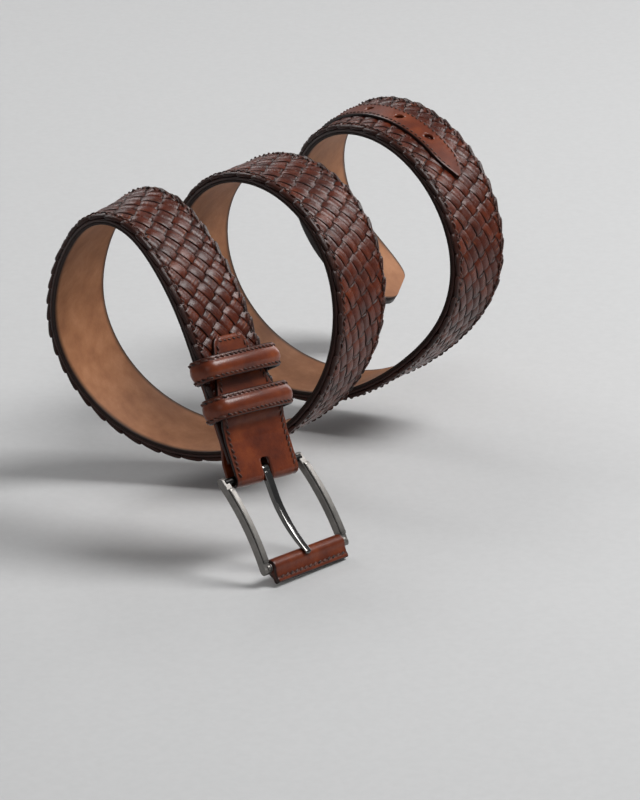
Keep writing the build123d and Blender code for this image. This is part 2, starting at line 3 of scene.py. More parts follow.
import bpy
import numpy as np
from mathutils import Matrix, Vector


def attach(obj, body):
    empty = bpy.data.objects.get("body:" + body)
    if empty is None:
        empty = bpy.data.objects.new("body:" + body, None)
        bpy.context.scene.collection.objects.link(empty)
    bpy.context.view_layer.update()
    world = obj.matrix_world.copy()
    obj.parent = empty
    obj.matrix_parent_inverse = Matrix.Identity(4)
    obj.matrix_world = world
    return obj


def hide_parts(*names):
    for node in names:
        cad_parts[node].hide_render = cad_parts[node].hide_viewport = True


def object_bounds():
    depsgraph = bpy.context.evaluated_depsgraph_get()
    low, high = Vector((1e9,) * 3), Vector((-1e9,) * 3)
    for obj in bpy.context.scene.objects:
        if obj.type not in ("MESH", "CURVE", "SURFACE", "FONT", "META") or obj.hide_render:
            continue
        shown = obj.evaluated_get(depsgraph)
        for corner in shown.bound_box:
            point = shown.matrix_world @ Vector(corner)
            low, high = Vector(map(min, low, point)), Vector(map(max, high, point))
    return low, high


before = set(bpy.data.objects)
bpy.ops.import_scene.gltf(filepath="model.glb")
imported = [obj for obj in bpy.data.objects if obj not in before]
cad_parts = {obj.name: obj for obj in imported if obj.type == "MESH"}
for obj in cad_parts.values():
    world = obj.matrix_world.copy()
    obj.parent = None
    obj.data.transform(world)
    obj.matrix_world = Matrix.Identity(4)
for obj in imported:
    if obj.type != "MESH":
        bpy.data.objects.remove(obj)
CAD_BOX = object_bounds()
MM = 0.001
RNG = np.random.default_rng(7)

# Places on the strap are (s, u, h): s along it from the buckle fold, u across it, h above its inner
# surface, in millimetres. The strap's line is walked from the same values that the CAD is made from.
START = np.array([-130.0, -70.8, -36.4])
START_HEADING, START_CLIMB, START_ROLL = 15.35, 61.3, -8.7
STRAIGHT_LENGTH = 60.0
STRETCHES = [
    (46.5, 102.0, -2.8), (33.5, 25.1, -58.3), (49.0, 101.0, -15.5), (238.5, 53.4, -33.8),
    (201.0, 51.9, -26.5), (37.0, 86.9, -13.9), (38.0, 39.5, -36.1), (212.0, 59.9, -34.2),
]
RAMP = 24.0
WALK_STEP = 0.5
STRAP_LENGTH = 915.0
STRAP_WIDTH = 35.0
LINING_TOP = 1.2
BACKING_TOP = 2.3
STRAP_TOP = 4.3
BACKING_START = 9.5
WOVEN_START, WOVEN_END = 26.0, 853.0
TIP_ROUND_LENGTH, TIP_END_WIDTH = 22.0, 13.0

# Weave: one family of strips climbs across the strap steeply, the other lies closer to its length
ROW_PITCH = 4.05            # between rows of crossings, across the strap
STEEP_STEP = 2.55           # along the strap from one row to the next, for each family
SHALLOW_STEP = 5.45
STRIP_PITCH = STEEP_STEP + SHALLOW_STEP
ROW_SHIFT = -0.6            # middle of a row where the shallow strips lie on top
PHASE = 75.6                # a shallow strip crosses the strap's middle here
STRIP_DEPTH = 0.85
STRIP_FILL = 0.93           # share of the room that a strip fills
STRIP_ROUNDING = 0.22
STRIP_SAG = 0.22            # how much lower a strip's edges lie than its middle
WAVE = 0.52                 # rise and fall of a strip over and under its neighbours
STEPPING = 1.25             # how squarely it rises and falls
WEAVE_MIDDLE = 3.35
HALF_WEAVE = 16.7
EDGE_FADE = 1.8             # a strip sinks and calms over this last stretch before the edge
EDGE_SINK, EDGE_CALM = 0.55, 0.7
EDGE_OVERHANG = 0.4
# How far strips differ by chance: width as a share, then tilt, lift and sway from crossing to crossing
WIDTH_SPREAD, TILT_SPREAD, LIFT_SPREAD, SWAY_SPREAD = 0.012, 0.030, 0.050, 0.10
# Folds at the edges, where strips double back
FOLD_REACH, FOLD_LEAN, FOLD_LEAN_BY_SIDE = -0.4, 0.80, 0.15
FOLD_HALF_WIDTH, FOLD_HALF_HEIGHT, FOLD_MIDDLE = 1.2, 0.98, 3.2
FOLD_OVERLAP, FOLD_CLIMB, FOLD_SPREAD = 0.5, 0.12, 0.06
# How far the folds are darkened towards the edge colour
FOLD_DARKENING = 0.72

# Stitching along the edges of the weave
EDGE_STITCH_START, EDGE_STITCH_U, EDGE_STITCH_H, EDGE_STITCH_WAVE = 41.0, 15.0, 4.28, 0.10
TIP_STITCH_INSET = 2.6

# Strip with the holes
HOLE_COUNT, FIRST_HOLE, HOLE_PITCH = 5, 749.0, 17.5
HOLE_RADIUS = 2.0
STRIP_POINT, STRIP_END, STRIP_WIDTH, STRIP_THICKNESS = 728.0, 852.0, 12.0, 1.0
STRIP_POINT_LENGTH = 12.0
STRIP_POINT_SHARE = 0.1     # the point's width as a share of the strip's
STRIP_STITCH_INSET = 1.3

# Tab
TAB_WIDTH, TAB_THICKNESS = 34.4, 1.2
TAB_STITCH_INSET, TONGUE_STITCH_INSET = 2.0, 1.9
TONGUE_BEVEL = 2.0
# Stitching groove: its depth and width, and the width of the painted shade along it
SEAM_DEPTH, SEAM_WIDTH, SEAM_SHADE_WIDTH = 0.16, 0.55, 0.45
TAB_SWELL = 0.10
SLOT_WIDTH, SLOT_END, SLOT_START = 5.0, 8.9, -1.5
SLOT_SQUARENESS = 0.6       # 1 is a round end, less is squarer
FOLD_INNER = 1.8
CHAPE_S, CHAPE_H = 4.2, 0.5
TONGUE_END, TONGUE_END_WIDTH = 57.5, 17.5
TAB_SHOULDER = 30.0
TAB_RETURN_END = 44.0

# Keepers
KEEPER_WIDTH = 9.4
KEEPER_FIXED_S, KEEPER_SLIDING_S = 30.4, 45.8
KEEPER_HALF, KEEPER_LOW, KEEPER_HIGH = 19.1, -0.5, 10.13
KEEPER_SHOULDER_DROP = 2.6
KEEPER_BOTTOM_RADIUS = 2.6
KEEPER_SIDE_RADIUS, KEEPER_SIDE_DROP, KEEPER_SIDE_SQUASH, KEEPER_SIDE_TURN = 4.0, 1.6, 0.8, 62.0
KEEPER_WALL = 1.55          # leather and lining at the stitching
KEEPER_PAD, KEEPER_PAD_REACH = 1.0, 0.62   # the padding's rise, and its reach as a share of half the width
KEEPER_SEAM = 0.74          # place of the stitching, as a share of half the width
KEEPER_GROOVE = 0.18
KEEPER_STITCH_LIFT = 1.56
KEEPER_EDGE_WALL = 1.0
KEEPER_UNDER_THINNING = 0.35

# Buckle, in its own plane: origin at the chape bar's middle, y to the end bar, z outward
BUCKLE_TILT, BUCKLE_SKEW = 9.0, 3.5
FRAME_WIDTH, CHAPE_END_WIDTH, FRAME_REACH, ARCH_RISE = 48.4, 46.6, 36.3, 1.7
SIDE_BAR_WIDTH, SIDE_BAR_DEPTH = 3.2, 4.0
END_BAR_RADIUS, SLEEVE_THICKNESS = 1.6, 1.35
SLEEVE_WIDTH, SLEEVE_FLAP, SLEEVE_STITCH_INSET = 40.7, 6.7, 1.8
CORNER_HALF = 2.2           # half length of the blocks at the side bars' ends
RAIL_STEP = 0.75            # height of the raised rail on a side bar
RAIL_START, RAIL_END_GAP = 2.8, 2.0
BEVEL = 0.22
COLLAR_RADIUS, COLLAR_NECK = 1.9, 1.65
CHAPE_BAR_RADIUS = 1.5
PRONG_WIDTH, PRONG_THICKNESS, PRONG_LEAN = 3.8, 2.3, 1.8
PRONG_CLEARANCE, PRONG_EYE_WALL = 0.08, 1.15
PRONG_OVERHANG, PRONG_REST_GAP = 0.8, 0.35
PRONG_ROOT = 2.7            # the blade leaves the eye here
PRONG_ROUND = 1.1           # length of the rounded tip
PRONG_SPARE, PRONG_TAPER, PRONG_THINNING = 0.02, 0.37, 0.42
PRONG_SIDE_SQUARENESS, PRONG_TOP_SQUARENESS = 0.38, 0.45


# --- the strap's line -------------------------------------------------------------------------
def walk_the_strap():
    heading, climb, roll = (math.radians(a) for a in (START_HEADING, START_CLIMB, START_ROLL))
    level = np.array([math.cos(heading), -math.sin(heading), 0.0])
    along = np.array([
        math.sin(heading) * math.cos(climb), math.cos(heading) * math.cos(climb), math.sin(climb),
    ])
    across = level * math.cos(roll) + np.cross(level, along) * math.sin(roll)
    point = START.copy()
    rows = [np.concatenate([point, across, along, np.cross(across, along)])]
    for i in range(math.ceil(STRAP_LENGTH / WALK_STEP) + 8):
        s = (i + 0.5) * WALK_STEP
        end, bend, twist = STRAIGHT_LENGTH, 0.0, 0.0
        for length, radius, turn in STRETCHES:
            share = min(1.0, max(0.0, (s - end) / RAMP + 0.5))
            bend += (1.0 / radius - bend) * share
            twist += (math.radians(turn) / 100.0 - twist) * share
            end += length
        out = np.cross(across, along)
        turned = along - out * (bend * WALK_STEP)
        turned /= np.linalg.norm(turned)
        middle = along + turned
        point = point + middle / np.linalg.norm(middle) * WALK_STEP
        across = across - out * (twist * WALK_STEP)
        along = turned
        across = across - along * across.dot(along)
        across /= np.linalg.norm(across)
        rows.append(np.concatenate([point, across, along, np.cross(across, along)]))
    return np.array(rows)


LINE = walk_the_strap()
LINE_S = np.arange(len(LINE)) * WALK_STEP


def place(s, u, h):
    """World points in metres for strap places; s, u and h are arrays or numbers."""
    s, u, h = np.broadcast_arrays(s, u, h)
    inside = np.clip(s, 0.0, LINE_S[-1])
    row = np.stack([np.interp(inside, LINE_S, LINE[:, k]) for k in range(12)], -1)
    point = row[..., 0:3] + row[..., 6:9] * (s - inside)[..., None]
    return (point + row[..., 3:6] * u[..., None] + row[..., 9:12] * h[..., None]) * MM


def turn(axis, degrees):
    a, k = math.radians(degrees), np.array(axis, float)
    cross = np.array([[0, -k[2], k[1]], [k[2], 0, -k[0]], [-k[1], k[0], 0]])
    return np.eye(3) + math.sin(a) * cross + (1 - math.cos(a)) * cross @ cross


TAIL_AXES = np.stack([LINE[0, 3:6], LINE[0, 6:9], LINE[0, 9:12]], 1)
BUCKLE_AXES = TAIL_AXES @ turn((0, 0, 1), 180 + BUCKLE_SKEW) @ turn((1, 0, 0), BUCKLE_TILT)
BUCKLE_ORIGIN = START + TAIL_AXES @ np.array([0, CHAPE_S, CHAPE_H])


def on_buckle(x, y, z):
    """World points in metres for places in the buckle's own plane."""
    return (BUCKLE_ORIGIN + points_of(x, y, z) @ BUCKLE_AXES.T) * MM


# --- mesh making ------------------------------------------------------------------------------
def circle(count):
    return np.linspace(0, 2 * math.pi, count, endpoint=False)


def running_length(points):
    return np.concatenate([[0], np.cumsum(np.linalg.norm(np.diff(points, axis=0), axis=1))])


def points_of(a, b, c):
    """Points from three coordinates, any of which may be one number."""
    return np.stack(np.broadcast_arrays(a, b, c), -1)


class Mesh:
    """Gathers swept solids and makes one object of them."""

    def __init__(self):
        self.points, self.quads, self.shade = [], [], {}
        self.count = 0

    def sweep(self, rings, closed=False, caps=True, **shade):
        """Skins an array (rings, points, 3) of closed sections, in metres.

        Each shade keyword is a value for every point, kept as an attribute of the mesh.
        """
        n, m = rings.shape[:2]
        base = self.count
        self.points.append(rings.reshape(-1, 3))
        i = np.arange(n if closed else n - 1)[:, None]
        j = np.arange(m)[None, :]
        a, b = base + i * m, base + ((i + 1) % n) * m
        k = (j + 1) % m
        self.quads.append(np.stack([a + j, a + k, b + k, b + j], -1).reshape(-1, 4))
        extra = 0
        if caps and not closed:
            for ring, flip in ((0, True), (n - 1, False)):
                middle = rings[ring].mean(0)
                self.points.append(middle[None])
                centre = base + n * m + extra
                extra += 1
                jj = np.arange(m)
                p, q = base + ring * m + jj, base + ring * m + (jj + 1) % m
                if flip:
                    p, q = q, p
                self.quads.append(np.stack([np.full(m, centre), p, q, q], -1))
        for name, value in shade.items():
            value = np.broadcast_to(value, (n, m)).reshape(-1)
            self.shade.setdefault(name, []).append((base, value))
        self.count += n * m + extra

    def build(self, name, material, smooth=True):
        points = np.concatenate(self.points)
        faces = [f[:3] if f[2] == f[3] else f for f in np.concatenate(self.quads).tolist()]
        mesh = bpy.data.meshes.new(name)
        mesh.from_pydata(points.tolist(), [], faces)
        for key, runs in self.shade.items():
            data = np.zeros(len(points), np.float32)
            for base, value in runs:
                data[base:base + len(value)] = value
            mesh.attributes.new(key, "FLOAT", "POINT").data.foreach_set("value", data)
        mesh.materials.append(material)
        mesh.validate()
        mesh.update()
        if smooth:
            mesh.shade_smooth()
        obj = bpy.data.objects.new(name, mesh)
        bpy.context.scene.collection.objects.link(obj)
        return obj


def flat_section(half, low, high, edge=0.3, across=6, crown=0.0, corner=3):
    """A closed section (u, h): a flat bar with rounded edges and a slightly crowned top."""
    def arc(side, middle_h, start, stop):
        turns = np.linspace(start * math.pi / 2, stop * math.pi / 2, corner + 1)
        return [(side * (half - edge) + edge * math.cos(a), middle_h + edge * math.sin(a)) for a in turns]

    top = np.linspace(-half + edge, half - edge, across)
    points = [(u, high + crown * (1 - (u / half) ** 2)) for u in top]
    points += arc(1, high - edge, 1, 0)[1:] + arc(1, low + edge, 0, -1)[:-1]
    points += [(u, low) for u in top[::-1]]
    points += arc(-1, low + edge, -1, -2)[1:] + arc(-1, high - edge, 2, 1)[:-1]
    return np.array(points)


# --- materials --------------------------------------------------------------------------------
def new_material(name):
    material = bpy.data.materials.new(name)
    material.use_nodes = True
    tree = material.node_tree
    tree.nodes.clear()
    shader = tree.nodes.new("ShaderNodeBsdfPrincipled")
    output = tree.nodes.new("ShaderNodeOutputMaterial")
    tree.links.new(shader.outputs["BSDF"], output.inputs["Surface"])
    return material, tree, shader


def coordinates(tree):
    return tree.nodes.new("ShaderNodeTexCoord").outputs["Object"]


def noise(tree, where, scale, detail=4.0, roughness=0.5):
    node = tree.nodes.new("ShaderNodeTexNoise")
    node.inputs["Scale"].default_value = scale
    node.inputs["Detail"].default_value = detail
    node.inputs["Roughness"].default_value = roughness
    tree.links.new(where, node.inputs["Vector"])
    return node.outputs["Fac"]


def cells(tree, where, scale):
    node = tree.nodes.new("ShaderNodeTexVoronoi")
    node.feature = "F1"
    node.inputs["Scale"].default_value = scale
    tree.links.new(where, node.inputs["Vector"])
    return node.outputs["Distance"]


def ramp(tree, value, stops):
    node = tree.nodes.new("ShaderNodeValToRGB")
    node.color_ramp.elements[0].position = stops[0][0]
    node.color_ramp.elements[0].color = (*stops[0][1], 1)
    node.color_ramp.elements[1].position = stops[-1][0]
    node.color_ramp.elements[1].color = (*stops[-1][1], 1)
    for position, colour in stops[1:-1]:
        node.color_ramp.elements.new(position).color = (*colour, 1)
    tree.links.new(value, node.inputs["Fac"])
    return node.outputs["Color"]


def mix(tree, factor, a, b):
    node = tree.nodes.new("ShaderNodeMix")
    node.data_type = "RGBA"
    for value, name in ((factor, "Factor"), (a, "A"), (b, "B")):
        socket = [x for x in node.inputs if x.name == name and x.enabled][0]
        if hasattr(value, "links"):
            tree.links.new(value, socket)
        elif name == "Factor":
            socket.default_value = value
        else:
            socket.default_value = (*value, 1)
    return [x for x in node.outputs if x.enabled][0]


def calc(tree, operation, a, b=0.0):
    node = tree.nodes.new("ShaderNodeMath")
    node.operation = operation
    for i, value in enumerate((a, b)):
        if hasattr(value, "links"):
            tree.links.new(value, node.inputs[i])
        else:
            node.inputs[i].default_value = value
    return node.outputs[0]


def bump(tree, height, distance, strength=1.0, normal=None):
    node = tree.nodes.new("ShaderNodeBump")
    node.inputs["Strength"].default_value = strength
    node.inputs["Distance"].default_value = distance
    tree.links.new(height, node.inputs["Height"])
    if normal is not None:
        tree.links.new(normal, node.inputs["Normal"])
    return node.outputs["Normal"]


def attribute(tree, name):
    node = tree.nodes.new("ShaderNodeAttribute")
    node.attribute_name = name
    return node.outputs["Fac"]


# Edge colour: burnished leather edges, and painted shade wherever the "edge" value marks grooves and
# crevices
BURNISHED_AND_SHADE = (0.010, 0.004, 0.003)
WORN = (0.30, 0.095, 0.035)
GRAIN = 1500.0
ROUGHNESS_SPREAD = 0.22


def leather(name, dark, mid, light, edge=BURNISHED_AND_SHADE, gloss=0.38, coat=0.3, strips=False):
    """Dyed leather: mottled colour, fine pores, and the edge colour where the mesh's "edge" value is 1:
    burnished edges, darkened weave folds, and painted shade in seam grooves and between and under woven
    strips.

    With strips, each strip has its own tone and fine creases that run along it.
    """
    material, tree, shader = new_material(name)
    where = coordinates(tree)
    mottle = noise(tree, where, 90.0, detail=5.0, roughness=0.6)
    colour = ramp(tree, mottle, [(0.3, dark), (0.52, mid), (0.72, light)])
    streak = noise(tree, where, 700.0, detail=3.0, roughness=0.6)
    colour = mix(tree, calc(tree, "MULTIPLY", streak, 0.35), colour, dark)
    fine = noise(tree, where, GRAIN * 0.6, detail=4.0, roughness=0.65)
    pores = calc(tree, "MULTIPLY", cells(tree, where, GRAIN), 0.5)
    normal = bump(tree, calc(tree, "ADD", pores, fine), 0.00005)
    if strips:
        run = tree.nodes.new("ShaderNodeCombineXYZ")
        tree.links.new(attribute(tree, "across"), run.inputs[0])
        tree.links.new(attribute(tree, "along"), run.inputs[1])
        crease = noise(tree, run.outputs[0], 1.6, detail=3.0, roughness=0.6)
        normal = bump(tree, crease, 0.0003, 0.8, normal)
        tone = calc(tree, "MULTIPLY", attribute(tree, "tone"), 0.6)
        colour = mix(tree, tone, colour, dark)
        worn = ramp(tree, crease, [(0.60, (0, 0, 0)), (0.68, (1, 1, 1))])
        colour = mix(tree, calc(tree, "MULTIPLY", worn, 0.5), colour, WORN)
        # Painted shade: the creases' grooves are drawn darker, in the edge colour
        line = ramp(tree, crease, [(0.34, (1, 1, 1)), (0.44, (0, 0, 0))])
        colour = mix(tree, calc(tree, "MULTIPLY", line, 0.55), colour, edge)
    colour = mix(tree, attribute(tree, "edge"), colour, edge)
    tree.links.new(colour, shader.inputs["Base Color"])
    tree.links.new(normal, shader.inputs["Normal"])
    rough = calc(tree, "MULTIPLY_ADD", fine, ROUGHNESS_SPREAD)
    rough.node.inputs[2].default_value = gloss - ROUGHNESS_SPREAD / 2
    tree.links.new(rough, shader.inputs["Roughness"])
    shader.inputs["Specular IOR Level"].default_value = 0.24
    shader.inputs["Coat Weight"].default_value = coat
    shader.inputs["Coat Roughness"].default_value = 0.20
    return material


def thread(name, dark, light):
    material, tree, shader = new_material(name)
    where = coordinates(tree)
    tone = noise(tree, where, 420.0, detail=2.0)
    colour = ramp(tree, tone, [(0.35, dark), (0.65, light)])
    tree.links.new(colour, shader.inputs["Base Color"])
    ply = noise(tree, where, 5200.0, detail=2.0)
    tree.links.new(bump(tree, ply, 0.0001), shader.inputs["Normal"])
    shader.inputs["Roughness"].default_value = 0.5
    shader.inputs["Specular IOR Level"].default_value = 0.35
    return material


def metal(name, colour, roughness, brush=0.0):
    """Plated metal; brush is the depth in metres of its fine drawn lines."""
    material, tree, shader = new_material(name)
    where = coordinates(tree)
    tone = noise(tree, where, 260.0, detail=4.0, roughness=0.6)
    dark = tuple(0.72 * c for c in colour)
    tree.links.new(ramp(tree, tone, [(0.3, dark), (0.7, colour)]), shader.inputs["Base Color"])
    shader.inputs["Metallic"].default_value = 1.0
    fine = noise(tree, where, 2600.0, detail=3.0, roughness=0.7)
    rough = calc(tree, "MULTIPLY_ADD", fine, 0.12)
    rough.node.inputs[2].default_value = roughness - 0.06
    tree.links.new(rough, shader.inputs["Roughness"])
    if brush:
        stretch = tree.nodes.new("ShaderNodeMapping")
        stretch.inputs["Scale"].default_value = (0.12, 0.6, 0.8)
        tree.links.new(where, stretch.inputs["Vector"])
        lines = noise(tree, stretch.outputs[0], 5200.0, detail=2.0, roughness=0.6)
        tree.links.new(bump(tree, lines, brush), shader.inputs["Normal"])
    return material


WOVEN = leather(
    "woven_leather", (0.038, 0.0052, 0.0014), (0.100, 0.0150, 0.0034), (0.175, 0.031, 0.0070),
    gloss=0.31, coat=0.12, strips=True,
)
SMOOTH = leather(
    "smooth_leather", (0.064, 0.0100, 0.0028), (0.140, 0.0250, 0.0060), (0.225, 0.048, 0.0115),
    gloss=0.36, coat=0.22,
)
LINING = leather(
    "lining_leather", (0.25, 0.105, 0.048), (0.35, 0.155, 0.072), (0.44, 0.210, 0.105),
    edge=(0.016, 0.007, 0.005), gloss=0.6, coat=0.0,
)
BACKING = leather(
    "backing_leather", (0.018, 0.006, 0.005), (0.032, 0.011, 0.008), (0.048, 0.018, 0.013),
    gloss=0.42, coat=0.15,
)
THREAD = thread("stitch_thread", (0.010, 0.004, 0.003), (0.12, 0.045, 0.030))
STEEL = metal("frame_metal", (0.25, 0.235, 0.22), 0.42, brush=0.00001)
POLISHED = metal("prong_metal", (0.17, 0.165, 0.16), 0.13)
# Near-black metal: painted shade, for the dark gap at the tab's fold and the step under a side bar's rail
SHADE_DARK_METAL = metal("painted_shade_metal", (0.035, 0.033, 0.032), 0.35)


# --- strap layers -----------------------------------------------------------------------------
def strap_tube(builder, s, section, widths=None, **shade):
    """Sweeps a section (u, h) along the strap; widths scales u about the middle at each s."""
    widths = np.ones(len(s)) if widths is None else widths
    u = section[None, :, 0] * widths[:, None]
    h = np.broadcast_to(section[None, :, 1], u.shape)
    rings = place(np.broadcast_to(s[:, None], u.shape), u, h)
    builder.sweep(rings, **shade)


def tip_widths(s, half):
    """The strap's width at s as a share of its full width, drawn in along a quarter ellipse."""
    into = np.clip((s - (STRAP_LENGTH - TIP_ROUND_LENGTH)) / TIP_ROUND_LENGTH, 0, 1)
    return (half - (half - TIP_END_WIDTH / 2) * (1 - np.sqrt(np.clip(1 - into * into, 0, 1)))) / half


def to_the_tip(start, count):
    """Places along the strap from start to the tip, closer together where the tip rounds."""
    shoulder = STRAP_LENGTH - TIP_ROUND_LENGTH
    rounding = STRAP_LENGTH - TIP_ROUND_LENGTH * (1 - np.sin(np.linspace(0.05, math.pi / 2, 24)))
    return np.concatenate([np.linspace(start, shoulder, count), rounding])


def lining():
    half = STRAP_WIDTH / 2 - 0.1
    s = to_the_tip(TAB_RETURN_END + 0.5, 420)
    section = flat_section(half, 0.0, LINING_TOP, edge=0.35, across=16)
    dark = (np.abs(section[:, 0]) > half - 0.45).astype(float)
    builder = Mesh()
    strap_tube(builder, s, section, tip_widths(s, half), edge=dark[None, :])
    piece = builder.build("lining_skin", LINING)
    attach(piece, "strap")
    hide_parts("lining")


def backing():
    s = np.linspace(BACKING_START, WOVEN_END, 420)
    section = flat_section(STRAP_WIDTH / 2, LINING_TOP + 0.02, BACKING_TOP, edge=0.35, across=8)
    builder = Mesh()
    strap_tube(builder, s, section)
    piece = builder.build("backing_edge", BACKING)
    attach(piece, "strap")
    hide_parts("backing_strap", "reinforcement_core")


# --- weave ------------------------------------------------------------------------------------
def strip(builder, s_middle, steep):
    """One leather strip from edge to edge, over and under those that cross it."""
    step = STEEP_STEP if steep else -SHALLOW_STEP
    slant = math.atan2(ROW_PITCH, abs(step))
    along = np.linspace(-HALF_WEAVE, HALF_WEAVE, 96)
    rows = (along - ROW_SHIFT) / ROW_PITCH
    wave = np.tanh(STEPPING * np.cos(math.pi * rows)) / math.tanh(STEPPING)
    rise = (-WAVE if steep else WAVE) * wave
    near_edge = np.clip((np.abs(along) - (HALF_WEAVE - EDGE_FADE)) / EDGE_FADE, 0, 1)
    rise = rise * (1 - EDGE_CALM * near_edge) - EDGE_SINK * near_edge ** 1.5
    half = STRIP_PITCH * math.sin(slant) / 2 * STRIP_FILL * (1 + RNG.normal(0, WIDTH_SPREAD))
    depth = STRIP_DEPTH / 2
    section = flat_section(half, -depth, depth, edge=STRIP_ROUNDING, across=9, corner=2)
    v, z = section[:, 0], section[:, 1]
    droop = -STRIP_SAG * (np.abs(v) / half) ** 2.5
    ticks = np.arange(-6, 7)
    tilt = np.interp(rows, ticks, RNG.normal(0, TILT_SPREAD, len(ticks)))
    lift = np.interp(rows, ticks, RNG.normal(0, LIFT_SPREAD, len(ticks)))
    sway = np.interp(rows, ticks, RNG.normal(0, SWAY_SPREAD, len(ticks)))
    direction = 1 if steep else -1
    s = s_middle + (along * step / ROW_PITCH + sway)[:, None] - direction * math.sin(slant) * v[None, :]
    u = along[:, None] + math.cos(slant) * v[None, :]
    h = WEAVE_MIDDLE + rise[:, None] + lift[:, None] + (z + droop)[None, :] + tilt[:, None] * v[None, :]
    u = np.clip(u, -HALF_WEAVE - EDGE_OVERHANG, HALF_WEAVE + EDGE_OVERHANG)
    s = np.clip(s, WOVEN_START, WOVEN_END - 0.3)
    # Darkening kept as the "edge" value: the strips' side walls, partly their own dark cut edges and
    # partly painted shade in the crevices between strips; darker towards the strap's edges; and painted
    # shade where a strip dips under its neighbours
    rim = np.clip((np.abs(v) / half - 0.86) / 0.12, 0, 1)
    side = np.clip((np.abs(u) - (HALF_WEAVE - 1.6)) / 2.0, 0, 1)
    under = np.clip(-rise / WAVE, 0, 1)
    painted_dip_shade = 0.7 * under[:, None] ** 2
    shade = np.clip(np.maximum(0.95 * rim[None, :], 0.70 * side) + painted_dip_shade, 0, 1)
    run = along * abs(step) / ROW_PITCH / math.cos(slant) * 0.08 + RNG.uniform(0, 400)
    builder.sweep(
        place(s, u, h), edge=shade, across=np.broadcast_to(v[None, :], s.shape),
        along=np.broadcast_to(run[:, None], s.shape), tone=RNG.uniform(0, 1),
    )


def fold(builder, s_middle, side):
    """Where a strip doubles back at the strap's edge: a tooth that stands out further at one end."""
    x = np.linspace(-1, 1, 17)
    angle = circle(14)
    swell = np.clip(1 - np.abs(x) ** 5, 0, 1) ** 0.5
    s = s_middle + x * (STRIP_PITCH / 2 + FOLD_OVERLAP)
    middle = HALF_WEAVE + FOLD_REACH + (FOLD_LEAN + FOLD_LEAN_BY_SIDE * side) * x
    reach = middle[:, None] + FOLD_HALF_WIDTH * np.cos(angle)[None, :] * swell[:, None]
    h = FOLD_MIDDLE + FOLD_CLIMB * x[:, None] + FOLD_HALF_HEIGHT * np.sin(angle)[None, :] * swell[:, None]
    h = h + RNG.normal(0, FOLD_SPREAD)
    rings = place(np.broadcast_to(s[:, None], h.shape), side * reach, h)
    if side < 0:
        rings = rings[:, ::-1]
    builder.sweep(
        rings, edge=FOLD_DARKENING, across=2.0 * angle[None, :],
        along=RNG.uniform(0, 400), tone=RNG.uniform(0, 1),
    )


def weave():
    for steep, name in ((True, "weave_strips_steep"), (False, "weave_strips_shallow")):
        builder = Mesh()
        reach = HALF_WEAVE * (STEEP_STEP if steep else SHALLOW_STEP) / ROW_PITCH
        # At a crossing in the middle row the two families meet, so their phases are tied there.
        phase = PHASE + ROW_SHIFT * (-STEEP_STEP if steep else SHALLOW_STEP) / ROW_PITCH
        first = math.ceil((WOVEN_START - reach - phase) / STRIP_PITCH)
        last = math.floor((WOVEN_END + reach - phase) / STRIP_PITCH)
        for i in range(first, last + 1):
            strip(builder, phase + i * STRIP_PITCH, steep)
        weave_piece(builder, name)
    for side, name in ((-1, "weave_folds_left"), (1, "weave_folds_right")):
        builder = Mesh()
        first = WOVEN_START + 4.0 + (PHASE + 3.0 * side - WOVEN_START) % STRIP_PITCH
        for i in range(int((WOVEN_END - 5.0 - first) / STRIP_PITCH) + 1):
            fold(builder, first + i * STRIP_PITCH, side)
        weave_piece(builder, name)


def weave_piece(builder, name):
    piece = builder.build(name, WOVEN)
    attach(piece, "strap")
    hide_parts("woven_face")


# --- stitches ---------------------------------------------------------------------------------
def stitches(builder, path, pitch=2.7, length=2.2, radius=0.38, lean=0.6, mapping=place, lift=0.2):
    """A row of stitches along path, an array of (s, u, h) points; lean turns each across the row."""
    path = np.asarray(path, float)
    run = running_length(path)
    count = max(1, int(run[-1] / pitch))
    start = (run[-1] - (count - 1) * pitch) / 2
    t = np.linspace(-0.5, 0.5, 7)
    angle = circle(8)
    for i in range(count):
        middle = start + i * pitch
        behind, at, ahead = (
            np.array([np.interp(middle + d, run, path[:, k]) for k in range(3)]) for d in (-0.5, 0, 0.5)
        )
        forward = ahead - behind
        forward /= np.linalg.norm(forward)
        sideways = np.array([-forward[1], forward[0], 0.0])
        sideways /= np.linalg.norm(sideways)
        wobble = RNG.normal(0, 0.05, 2)
        line = (
            at
            + forward * (t * length)[:, None]
            + sideways * (t * lean + wobble[0] * np.sin(3 * t))[:, None]
        )
        arch = lift - (lift + 0.45) * (2 * t) ** 4 + 0.04 * wobble[1]
        line[:, 2] += arch
        size = radius * (1 - 0.35 * (2 * np.abs(t)) ** 3)
        ring = (
            line[:, None, :]
            + sideways[None, None, :] * (np.cos(angle)[None, :] * size[:, None])[..., None]
            + np.array([0, 0, 1.0]) * (np.sin(angle)[None, :] * size[:, None] * 0.85)[..., None]
        )
        builder.sweep(mapping(ring[..., 0], ring[..., 1], ring[..., 2]))


def strap_stitching():
    for side, hand in ((-1, "left"), (1, "right")):
        builder = Mesh()
        s = np.linspace(EDGE_STITCH_START, WOVEN_END - 2, 1200)
        h = EDGE_STITCH_H + EDGE_STITCH_WAVE * np.cos(2 * math.pi * s / STRIP_PITCH)
        path = points_of(s, side * EDGE_STITCH_U, h)
        stitches(builder, path, pitch=2.75, length=2.3, radius=0.36, lean=0.9 * side)
        piece = builder.build(f"edge_stitches_{hand}", THREAD)
        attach(piece, "strap")
        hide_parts(f"edge_thread_{hand}")


